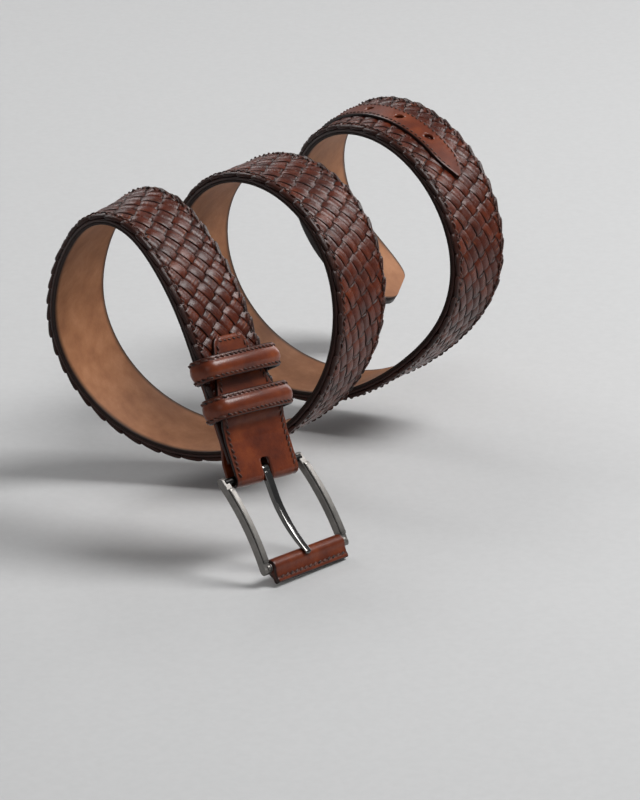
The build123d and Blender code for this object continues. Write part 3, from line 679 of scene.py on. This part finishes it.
# --- tip --------------------------------------------------------------------------------------
def tip():
    half = STRAP_WIDTH / 2
    s = to_the_tip(WOVEN_END, 40)
    section = flat_section(half, LINING_TOP + 0.03, STRAP_TOP, edge=0.7, across=20, crown=0.15, corner=4)
    rim = np.clip((np.abs(section[:, 0]) - half + 1.2) / 0.9, 0, 1)
    builder = Mesh()
    strap_tube(builder, s, section, tip_widths(s, half), edge=rim[None, :])
    piece = builder.build("tip_cap", SMOOTH)
    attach(piece, "strap")
    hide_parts("tip_leather")
    builder = Mesh()
    inset = TIP_STITCH_INSET
    for side in (-1, 1):
        s = np.linspace(WOVEN_END + 2, STRAP_LENGTH - inset, 120)
        u = side * np.maximum(tip_widths(s, half) * half - inset, 1.0)
        stitches(builder, points_of(s, u, STRAP_TOP + 0.05))
    u = np.linspace(-half + inset, half - inset, 30)
    stitches(builder, points_of(WOVEN_END + 2, u, STRAP_TOP + 0.1))
    piece = builder.build("tip_stitches", THREAD)
    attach(piece, "strap")
    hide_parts("tip_thread")


def cut(target, cutters):
    """Cuts the cutter objects out of the target's mesh."""
    for cutter in cutters:
        modifier = target.modifiers.new("cut", "BOOLEAN")
        modifier.operation = "DIFFERENCE"
        modifier.solver = "EXACT"
        modifier.object = cutter
    graph = bpy.context.evaluated_depsgraph_get()
    mesh = bpy.data.meshes.new_from_object(target.evaluated_get(graph))
    target.modifiers.clear()
    old = target.data
    target.data = mesh
    bpy.data.meshes.remove(old)
    for cutter in cutters:
        bpy.data.objects.remove(cutter)


def strip_widths(s):
    """The strip's width at s as a share of its full width, from its point on."""
    into = np.clip((s - STRIP_POINT) / STRIP_POINT_LENGTH, 0, 1)
    return STRIP_POINT_SHARE + (1 - STRIP_POINT_SHARE) * np.sin(into * math.pi / 2) ** 0.9


def hole_strip():
    point = STRIP_POINT + STRIP_POINT_LENGTH * np.linspace(0, 1, 16) ** 1.3
    s = np.concatenate([point, np.linspace(STRIP_POINT + STRIP_POINT_LENGTH + 0.8, STRIP_END, 90)])
    half, top = STRIP_WIDTH / 2, STRAP_TOP + STRIP_THICKNESS
    section = flat_section(half, STRAP_TOP - 0.5, top, edge=0.35, across=14, crown=0.12)
    rim = np.clip((np.abs(section[:, 0]) - half + 0.7) / 0.6, 0, 1)
    builder = Mesh()
    strap_tube(builder, s, section, strip_widths(s), edge=rim[None, :])
    piece = builder.build("hole_strip_leather", SMOOTH)
    cutters = []
    angle = circle(28)
    for i in range(HOLE_COUNT):
        hole = FIRST_HOLE + HOLE_PITCH * i
        drill = Mesh()
        rings = [
            place(hole + HOLE_RADIUS * np.cos(angle), -HOLE_RADIUS * np.sin(angle), level)
            for level in (STRAP_TOP - 1.2, STRAP_TOP + 3)
        ]
        drill.sweep(np.array(rings))
        cutters.append(drill.build("drill", SMOOTH))
    cut(piece, cutters)
    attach(piece, "strap")
    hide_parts("hole_strip")
    builder = Mesh()
    for side in (-1, 1):
        s = np.linspace(STRIP_POINT + 3, STRIP_END - 2, 240)
        u = side * np.maximum(strip_widths(s) * half - STRIP_STITCH_INSET, 0.3)
        path = points_of(s, u, top)
        stitches(builder, path, pitch=2.4, length=1.9, radius=0.30, lean=0.4 * side)
    piece = builder.build("hole_strip_stitches", THREAD)
    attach(piece, "strap")
    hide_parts("hole_strip_thread")


# --- buckle tab -------------------------------------------------------------------------------
def tab_line():
    """The tab's middle line as (s, h), from the lower leg's end round the fold to the tongue's end."""
    t = TAB_THICKNESS / 2
    middle_s, radius = FOLD_INNER + TAB_THICKNESS, FOLD_INNER + t
    low = CHAPE_H - radius
    knots = [(TAB_RETURN_END, LINING_TOP - t), (18.0, LINING_TOP - t), (8.5, low + 0.1), (middle_s, low)]
    lower = smooth_line(knots, 70)
    angle = np.linspace(-math.pi / 2, -3 * math.pi / 2, 22)[1:-1]
    fold_line = np.stack([middle_s + radius * np.cos(angle), CHAPE_H + radius * np.sin(angle)], -1)
    leg, tongue = BACKING_TOP + 0.05 + t, STRAP_TOP + 0.03 + t
    knots = [
        (middle_s, CHAPE_H + radius), (8.0, CHAPE_H + radius + 0.15), (17.0, leg + 0.25),
        (21.5, leg + 0.9), (26.5, tongue - 0.05), (32.0, tongue), (TONGUE_END, tongue),
    ]
    return np.concatenate([lower, fold_line, smooth_line(knots, 110)])


def smooth_line(knots, count):
    """A monotone smooth curve through (s, h) knots."""
    knots = np.array(knots, float)
    t = np.arange(len(knots))
    fine = np.linspace(0, len(knots) - 1, count)
    s = np.interp(fine, t, knots[:, 0])
    i = np.clip(fine.astype(int), 0, len(knots) - 2)
    f = fine - i
    f = f * f * (3 - 2 * f)
    h = knots[i, 1] * (1 - f) + knots[i + 1, 1] * f
    return np.stack([s, h], -1)


def tab_half_width(s, upper):
    """Half width of the tab at s: full, then narrowing along the tongue to bevelled corners."""
    if not upper:
        return TAB_WIDTH / 2
    bevel_start = TONGUE_END - TONGUE_BEVEL
    into = np.clip((s - TAB_SHOULDER) / (bevel_start - TAB_SHOULDER), 0, 1)
    half = TAB_WIDTH / 2 + (TONGUE_END_WIDTH - TAB_WIDTH) / 2 * into
    return half - np.clip(s - bevel_start, 0, TONGUE_BEVEL)


def squared(values, power):
    """Sines or cosines bent towards a square's: power 1 leaves a circle, less is squarer."""
    return np.sign(values) * np.abs(values) ** power


def tab():
    line = tab_line()
    split = int(np.argmin(line[:, 0]))
    step = np.gradient(line, axis=0)
    step /= np.linalg.norm(step, axis=1)[:, None]
    outward = np.stack([-step[:, 1], step[:, 0]], -1)
    if outward[-1, 1] < 0:
        outward = -outward
    half = np.array([tab_half_width(p[0], i > split) for i, p in enumerate(line)])
    builder = Mesh()
    t = TAB_THICKNESS
    rings, rims_and_seam_shade = [], []
    for i, (s, h) in enumerate(line):
        w = half[i]
        shape = flat_section(w, -t / 2, t / 2, edge=0.42, across=26)
        outer = shape[:, 1] > 0
        from_seam = np.abs(shape[:, 0]) - (w - TAB_STITCH_INSET)
        groove = -SEAM_DEPTH * np.exp(-((from_seam / SEAM_WIDTH) ** 2)) * outer
        swell = TAB_SWELL * (1 - (shape[:, 0] / w) ** 4) * outer
        lift = shape[:, 1] + groove + swell
        rings.append(place(s + outward[i, 0] * lift, shape[:, 0], h + outward[i, 1] * lift))
        # Painted shade: a dark band along the stitching's groove on the outer face
        seam_shade = 0.65 * np.exp(-((from_seam / SEAM_SHADE_WIDTH) ** 2)) * outer
        rim = np.clip((np.abs(shape[:, 0]) - w + 0.5) / 0.45, 0, 1)
        rims_and_seam_shade.append(np.maximum(seam_shade, rim * (0.2 if i < split else 1.0)))
    builder.sweep(np.array(rings), edge=np.array(rims_and_seam_shade))
    piece = builder.build("tab_leather", SMOOTH)
    angle = circle(32)
    slot = Mesh()
    wide = SLOT_WIDTH / 2
    end = np.where(np.cos(angle) > 0, SLOT_END - wide, SLOT_START)
    s_slot = end + wide * squared(np.cos(angle), SLOT_SQUARENESS)
    u_slot = wide * squared(np.sin(angle), SLOT_SQUARENESS)
    slot.sweep(np.array([place(s_slot, -u_slot, level) for level in (-6.0, 7.0)]))
    cut(piece, [slot.build("slot_cutter", SMOOTH)])
    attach(piece, "strap")
    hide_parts("buckle_tab")
    builder = Mesh()
    upper = line[split + 10:]
    top = upper + outward[split + 10:] * (t / 2 - 0.02)
    w = half[split + 10:]
    for side in (-1, 1):
        keep = top[:, 0] < TONGUE_END - TONGUE_STITCH_INSET
        path = points_of(top[keep, 0], side * (w[keep] - TAB_STITCH_INSET), top[keep, 1])
        stitches(builder, path, pitch=2.4, length=2.1, radius=0.43, lean=1.2 * side)
    reach = TONGUE_END_WIDTH / 2 - 2.2
    u = np.linspace(-reach, reach, 20)
    path = points_of(TONGUE_END - TONGUE_STITCH_INSET, u, top[-1, 1])
    stitches(builder, path, pitch=2.5, length=2.0, radius=0.36)
    piece = builder.build("tab_stitches", THREAD)
    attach(piece, "strap")
    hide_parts("buckle_tab_thread")


# --- keepers ----------------------------------------------------------------------------------
def keeper_loop(count=140):
    """The keeper's inner wall as points (u, h) and outward directions, going round once."""
    half, low, high = KEEPER_HALF, KEEPER_LOW, KEEPER_HIGH
    shoulder = high - KEEPER_SHOULDER_DROP
    r = KEEPER_BOTTOM_RADIUS
    corners = []
    for cu, ch, start in ((-half + r, low + r, math.pi), (half - r, low + r, 1.5 * math.pi)):
        for a in np.linspace(start, start + math.pi / 2, 10):
            corners.append((cu + r * math.cos(a), ch + r * math.sin(a)))
    r = KEEPER_SIDE_RADIUS
    right = []
    for a in np.linspace(0, math.radians(KEEPER_SIDE_TURN), 10):
        h = shoulder - KEEPER_SIDE_DROP + r * math.sin(a) * KEEPER_SIDE_SQUASH
        right.append((half - r + r * math.cos(a), h))
    u0 = right[-1][0]
    arch = []
    for f in np.linspace(0, 1, 30)[1:-1]:
        u = u0 * (1 - 2 * f)
        arch.append((u, high - (high - right[-1][1]) * (u / u0) ** 2))
    left = [(-u, h) for u, h in reversed(right)]
    points = np.array(corners + right + arch + left)
    closed = np.vstack([points, points[:1]])
    run = running_length(closed)
    at = np.linspace(0, run[-1], count, endpoint=False)
    loop = np.stack([np.interp(at, run, closed[:, k]) for k in range(2)], -1)
    for _ in range(3):
        loop = (np.roll(loop, 1, 0) + 2 * loop + np.roll(loop, -1, 0)) / 4
    forward = np.roll(loop, -1, 0) - np.roll(loop, 1, 0)
    forward /= np.linalg.norm(forward, axis=1)[:, None]
    return loop, np.stack([forward[:, 1], -forward[:, 0]], -1)


def keeper(s_middle, body, tag):
    loop, out = keeper_loop()
    x = np.linspace(-1, 1, 17)
    from_seam = np.abs(x) - KEEPER_SEAM
    pad = KEEPER_PAD * np.clip(1 - (x / KEEPER_PAD_REACH) ** 2, 0, 1) ** 0.8
    profile = KEEPER_WALL + pad - KEEPER_GROOVE * np.exp(-((from_seam / 0.09) ** 2))
    profile[0] = profile[-1] = KEEPER_EDGE_WALL
    ring_s = np.concatenate([x * KEEPER_WIDTH / 2, x[::-1] * (KEEPER_WIDTH / 2 - 0.15)])
    ring_n = np.concatenate([profile, np.full(17, 0.02)])
    under = np.clip((2.0 - loop[:, 1]) / 2.0, 0, 1)
    plump = 1 - KEEPER_UNDER_THINNING * under
    u = loop[:, 0][:, None] + out[:, 0][:, None] * ring_n[None, :] * plump[:, None]
    h = loop[:, 1][:, None] + out[:, 1][:, None] * ring_n[None, :] * plump[:, None]
    s = np.broadcast_to(s_middle + ring_s[None, :], u.shape)
    # Painted shade: a dark band along each row of stitching, in its groove
    seam_shade = 0.6 * np.exp(-((from_seam / 0.07) ** 2))
    rim = np.concatenate([np.maximum(np.clip((np.abs(x) - 0.84) / 0.1, 0, 1), seam_shade), np.ones(17)])
    builder = Mesh()
    builder.sweep(place(s, u, h)[:, ::-1], closed=True, edge=rim[None, ::-1])
    piece = builder.build(f"keeper_{tag}_leather", SMOOTH)
    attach(piece, body)
    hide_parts(f"keeper_{tag}", f"keeper_{tag}_lining")
    builder = Mesh()
    for side in (-1, 1):
        keeper_stitches(builder, loop, out, s_middle + side * KEEPER_SEAM * KEEPER_WIDTH / 2)
    piece = builder.build(f"keeper_{tag}_stitches", THREAD)
    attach(piece, body)
    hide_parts(f"keeper_{tag}_thread")


def keeper_stitches(builder, loop, out, s_row, pitch=2.3, length=2.0, radius=0.42):
    """Stitches round the keeper, in a row at s_row."""
    closed = np.vstack([loop, loop[:1]])
    outs = np.vstack([out, out[:1]])
    run = running_length(closed)
    count = int(run[-1] / pitch)
    t = np.linspace(-0.5, 0.5, 7)
    angle = circle(8)
    for i in range(count):
        at = (i + 0.5) * run[-1] / count + t * length
        centre = np.stack([np.interp(at, run, closed[:, k], period=run[-1]) for k in range(2)], -1)
        normal = np.stack([np.interp(at, run, outs[:, k], period=run[-1]) for k in range(2)], -1)
        arch = KEEPER_STITCH_LIFT - 0.5 * (2 * t) ** 4
        size = radius * (1 - 0.35 * (2 * np.abs(t)) ** 3)
        grow = arch[:, None] + size[:, None] * np.sin(angle)[None, :] * 0.85
        u = centre[:, 0][:, None] + normal[:, 0][:, None] * grow
        h = centre[:, 1][:, None] + normal[:, 1][:, None] * grow
        s = s_row + size[:, None] * np.cos(angle)[None, :] + 0.8 * t[:, None]
        builder.sweep(place(s, u, h))


# --- end-bar sleeve ---------------------------------------------------------------------------
def sleeve():
    r = END_BAR_RADIUS + SLEEVE_THICKNESS + 0.05
    end, t = FRAME_REACH + SLEEVE_FLAP, SLEEVE_THICKNESS
    seam_y = end - SLEEVE_STITCH_INSET
    angle = np.linspace(math.radians(50), math.radians(310), 26)
    wrap = [(FRAME_REACH + r * math.cos(a), r * math.sin(a)) for a in angle]
    bottom = [
        (FRAME_REACH + 3.0, -t - 0.45), (FRAME_REACH + 4.0, -t - 0.12),
        (seam_y - 0.5, -t), (seam_y, -t + 0.1), (seam_y + 0.5, -t),
        (end - 0.4, -t + 0.02), (end, -t + 0.35),
    ]
    join = [(end, -0.12), (end - 0.35, 0.0), (end, 0.12)]
    top = [(y, -z) for y, z in reversed(bottom)]
    outline = np.array(wrap + bottom + join + top)
    x = np.concatenate([[-1, -0.992, -0.98], np.linspace(-0.96, 0.96, 40), [0.98, 0.992, 1]])
    centre_y = FRAME_REACH + 1.5
    # Painted shade: a dark band along the stitching's groove
    seam_shade = 0.65 * np.exp(-(((outline[:, 0] - seam_y) / 0.5) ** 2))
    lip = np.clip((outline[:, 0] - end + 0.3) / 0.3, 0, 1)
    rings, rims_and_seam_shade = [], []
    for f in x:
        shrink = 1 - 0.12 * max(0.0, (abs(f) - 0.975) / 0.025) ** 2
        wave = 0.05 * math.sin(7.0 * f) * np.clip((outline[:, 0] - FRAME_REACH) / 6.0, 0, 1)
        y = centre_y + (outline[:, 0] - centre_y) * (1 - (1 - shrink) * 0.4)
        z = outline[:, 1] * shrink + wave
        rings.append(on_buckle(f * SLEEVE_WIDTH / 2, y, z))
        rim = np.maximum(np.clip((abs(f) - 0.975) / 0.02, 0, 1), lip)
        rims_and_seam_shade.append(np.maximum(rim, seam_shade))
    builder = Mesh()
    builder.sweep(np.array(rings)[::-1], edge=np.array(rims_and_seam_shade)[::-1])
    piece = builder.build("end_bar_sleeve", SMOOTH)
    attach(piece, "buckle")
    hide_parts("end_sleeve")
    builder = Mesh()
    x = np.linspace(-SLEEVE_WIDTH / 2 + 0.6, SLEEVE_WIDTH / 2 - 0.6, 60)
    row = points_of(x, seam_y, t - 0.06)
    for mapping in (on_buckle, lambda x, y, z: on_buckle(x, y, -z)):
        stitches(builder, row, pitch=2.7, length=2.2, radius=0.42, lean=0.9, mapping=mapping)
    piece = builder.build("end_bar_sleeve_stitches", THREAD)
    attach(piece, "buckle")
    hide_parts("end_sleeve_thread")


# --- metal parts ------------------------------------------------------------------------------
def bar_section(half, low, high, bevel):
    """A closed bevelled rectangle (x, z)."""
    return np.array([
        (-half + bevel, high), (half - bevel, high), (half, high - bevel), (half, low + bevel),
        (half - bevel, low), (-half + bevel, low), (-half, low + bevel), (-half, high - bevel),
    ])


def arch(y):
    """Height of the side bars' middle line at y."""
    chord = FRAME_REACH / 2
    radius = (chord ** 2 + ARCH_RISE ** 2) / (2 * ARCH_RISE)
    inside = np.clip(y, 0, FRAME_REACH)
    return np.sqrt(radius ** 2 - (inside - chord) ** 2) - (radius - ARCH_RISE)


def bar_run(builder, x, y, half, low, high, bevel, ends):
    """A bar along y at x whose ends are rounded over the length ends."""
    into = np.minimum(y - y[0], y[-1] - y) / max(ends, 0.01)
    draw = np.sqrt(np.clip(1 - (1 - np.clip(into, 0, 1)) ** 2, 0.02, 1))
    section = bar_section(half, low, high, bevel)
    middle = (low + high) / 2
    z = arch(y)[:, None] + middle + (section[None, :, 1] - middle) * draw[:, None]
    flare = (FRAME_WIDTH - CHAPE_END_WIDTH) / 2 / FRAME_REACH
    middle_x = x + np.sign(x) * (y[:, None] - FRAME_REACH) * flare
    rings = on_buckle(middle_x + section[None, :, 0], y[:, None] + 0 * z, z)
    builder.sweep(rings)


def buckle_frame():
    builder = Mesh()
    half, depth = SIDE_BAR_WIDTH / 2, SIDE_BAR_DEPTH / 2
    ledge = depth - RAIL_STEP
    groove = Mesh()
    for side in (-1, 1):
        x = side * (FRAME_WIDTH - SIDE_BAR_WIDTH) / 2
        ends = CORNER_HALF * (1 - np.cos(np.linspace(0, math.pi / 2, 9)))
        straight = np.linspace(1.0, FRAME_REACH, 40)
        body = np.concatenate([ends - CORNER_HALF, straight, FRAME_REACH + CORNER_HALF - ends[::-1]])
        bar_run(builder, x, body, half, -depth, ledge - 0.12, BEVEL, ends=1.8)
        rail = np.linspace(RAIL_START, FRAME_REACH - RAIL_END_GAP, 44)
        # A near-black strip in the step between the bar and its rail: painted shade
        bar_run(groove, x, rail, half - 0.62, ledge - 0.3, ledge + 0.4, 0.1, ends=0.15)
        bar_run(builder, x, rail, half - 0.30, ledge + 0.06, depth, BEVEL, ends=0.15)
    angle = circle(24)
    x = np.linspace(-1, 1, 3) * (FRAME_WIDTH - SIDE_BAR_WIDTH) / 2
    y = FRAME_REACH + END_BAR_RADIUS * np.cos(angle)
    z = END_BAR_RADIUS * np.sin(angle)
    builder.sweep(np.array([on_buckle(a, y, z) for a in x])[:, ::-1])
    sleeve_end, bar_face = SLEEVE_WIDTH / 2, FRAME_WIDTH / 2 - SIDE_BAR_WIDTH
    for side in (-1, 1):
        x = side * np.array([sleeve_end + 0.1, sleeve_end + 0.35, bar_face + 0.2])
        rings = []
        for a, r in zip(x, (COLLAR_NECK, COLLAR_RADIUS, COLLAR_RADIUS)):
            rings.append(on_buckle(a, FRAME_REACH + r * np.cos(angle), r * np.sin(angle)))
        builder.sweep(np.array(rings)[:, ::-side])
    piece = builder.build("buckle_frame_bars", STEEL, smooth=False)
    soften(piece, 40)
    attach(piece, "buckle")
    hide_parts("buckle_frame")
    piece = groove.build("buckle_frame_painted_shade_groove", SHADE_DARK_METAL, smooth=False)
    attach(piece, "buckle")
    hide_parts("buckle_frame")


def soften(piece, degrees):
    """Smooth shading, with edges sharper than the given angle kept crisp."""
    piece.data.shade_smooth()
    piece.data.set_sharp_from_angle(angle=math.radians(degrees))


def prong():
    """The eye round the chape bar, and a blade that sags and then climbs onto the sleeve."""
    builder = Mesh()
    inner, wall = CHAPE_BAR_RADIUS + PRONG_CLEARANCE, PRONG_EYE_WALL
    angle = circle(40)
    section = flat_section(PRONG_WIDTH / 2, inner, inner + wall, edge=0.4)
    y = section[None, :, 1] * np.cos(angle)[:, None]
    z = section[None, :, 1] * np.sin(angle)[:, None]
    builder.sweep(on_buckle(section[None, :, 0] + 0 * y, y, z), closed=True)
    tip = FRAME_REACH + PRONG_OVERHANG
    rest = END_BAR_RADIUS + SLEEVE_THICKNESS + PRONG_REST_GAP
    # The blade's middle line: it sags after the eye, then climbs to rest on the sleeve.
    knots_y = np.array([1.2, 0.16 * tip, 0.35 * tip, 0.5 * tip, 0.65 * tip, 0.85 * tip, 0.93 * tip, tip])
    knots_z = np.array([1.45, 0.95, 0.10, 0.12, 0.65, 2.35, 3.30, rest + 0.72])
    y = np.linspace(knots_y[0], tip, 90)
    z = curve(knots_y, knots_z, y)
    share = np.clip((y - PRONG_ROOT) / (tip - PRONG_ROOT), 0, 1)
    lean = PRONG_LEAN * share
    to_go = np.clip((tip - y) / PRONG_ROUND, 0, 1)
    close = np.sqrt(to_go * (2 - to_go) + 1e-3)
    half = (PRONG_WIDTH / 2 + PRONG_SPARE - PRONG_TAPER * share) * close
    thick = (PRONG_THICKNESS / 2 - PRONG_THINNING * share ** 3) * close
    slope = np.gradient(z, y)
    turn_y, turn_z = -slope / np.hypot(1, slope), 1 / np.hypot(1, slope)
    around = circle(28)
    side = squared(np.cos(around), PRONG_SIDE_SQUARENESS)
    up = squared(np.sin(around), PRONG_TOP_SQUARENESS)
    x = lean[:, None] + half[:, None] * side[None, :]
    rise = thick[:, None] * up[None, :]
    rings = on_buckle(x, y[:, None] + rise * turn_y[:, None], z[:, None] + rise * turn_z[:, None])
    builder.sweep(rings[:, ::-1])
    piece = builder.build("prong_blade", POLISHED)
    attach(piece, "prong")
    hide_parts("prong")


def curve(knots_x, knots_y, x):
    """A smooth curve through the knots, with slopes taken from their neighbours."""
    slope = np.gradient(knots_y, knots_x)
    i = np.clip(np.searchsorted(knots_x, x) - 1, 0, len(knots_x) - 2)
    gap = knots_x[i + 1] - knots_x[i]
    f = (x - knots_x[i]) / gap
    return (
        knots_y[i] * (1 + 2 * f) * (1 - f) ** 2 + slope[i] * gap * f * (1 - f) ** 2
        + knots_y[i + 1] * f * f * (3 - 2 * f) + slope[i + 1] * gap * f * f * (f - 1)
    )


def metal_parts():
    """The CAD's own chape bar and staple are already right, so they only get their metal; the chape bar's
    near-black metal is painted shade for the dark gap at the tab's fold.
    """
    for node, material in (("chape_bar", SHADE_DARK_METAL), ("keeper_staple", STEEL)):
        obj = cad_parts[node]
        obj.data.materials.clear()
        obj.data.materials.append(material)


# --- stage, light and camera ------------------------------------------------------------------
CAMERA_YAW, CAMERA_PITCH = 55.54, 18.31
CAMERA_PLACE = Vector((-1.5124, -1.0452, 0.5559))
LENS = 210.915              # millimetres, on a sensor SENSOR wide
SENSOR = 36.0
FLOOR_REACH = 6.0
# Soft boxes: direction from the origin, distance, size and power
SOFT_BOXES = {
    "key": ((0.36, -0.52, 0.90), 1.7, (0.8, 0.8), 30.0),
    "back": ((0.35, 0.75, 0.70), 1.9, (1.4, 0.6), 12.0),
    "rim": ((0.95, 0.02, 0.26), 1.9, (0.5, 1.0), 7.0),
    "fill": ((-0.85, -0.40, 0.50), 2.2, (1.2, 1.2), 3.5),
}


def camera():
    data = bpy.data.cameras.new("camera")
    data.sensor_width = SENSOR
    data.lens = LENS
    data.clip_end = 50.0
    obj = bpy.data.objects.new("camera", data)
    yaw, pitch = math.radians(CAMERA_YAW), math.radians(CAMERA_PITCH)
    level = math.cos(pitch)
    forward = Vector((math.sin(yaw) * level, math.cos(yaw) * level, -math.sin(pitch)))
    obj.location = CAMERA_PLACE
    obj.rotation_euler = forward.to_track_quat("-Z", "Y").to_euler()
    bpy.context.scene.collection.objects.link(obj)
    bpy.context.scene.camera = obj


def soft_box(name, direction, distance, size, power):
    data = bpy.data.lights.new(name, "AREA")
    data.shape = "RECTANGLE"
    data.size, data.size_y = size
    data.energy = power
    obj = bpy.data.objects.new(name, data)
    way = Vector(direction).normalized()
    obj.location = way * distance
    obj.rotation_euler = (-way).to_track_quat("-Z", "Y").to_euler()
    bpy.context.scene.collection.objects.link(obj)


def stage():
    low = CAD_BOX[0][2]
    mesh = bpy.data.meshes.new("floor")
    corners = [(FLOOR_REACH * x, FLOOR_REACH * y, low) for x, y in ((-1, -1), (1, -1), (1, 1), (-1, 1))]
    mesh.from_pydata(corners, [], [(0, 1, 2, 3)])
    material, tree, shader = new_material("floor_paper")
    grain = noise(tree, coordinates(tree), 300.0, detail=3.0)
    tone = ramp(tree, grain, [(0.3, (0.50, 0.50, 0.50)), (0.7, (0.52, 0.52, 0.52))])
    tree.links.new(tone, shader.inputs["Base Color"])
    shader.inputs["Roughness"].default_value = 0.75
    mesh.materials.append(material)
    obj = bpy.data.objects.new("floor", mesh)
    bpy.context.scene.collection.objects.link(obj)
    for name, box in SOFT_BOXES.items():
        soft_box(name, *box)
    world = bpy.data.worlds.new("world")
    world.use_nodes = True
    background = world.node_tree.nodes["Background"]
    background.inputs["Color"].default_value = (0.80, 0.82, 0.84, 1)
    background.inputs["Strength"].default_value = 0.21
    bpy.context.scene.world = world
    bpy.context.scene.view_settings.view_transform = "Standard"
    bpy.context.scene.view_settings.look = "None"


camera()
stage()
lining()
backing()
weave()
strap_stitching()
tip()
hole_strip()
tab()
keeper(KEEPER_FIXED_S, "strap", "fixed")
keeper(KEEPER_SLIDING_S, "sliding_keeper", "sliding")
sleeve()
buckle_frame()
prong()
metal_parts()
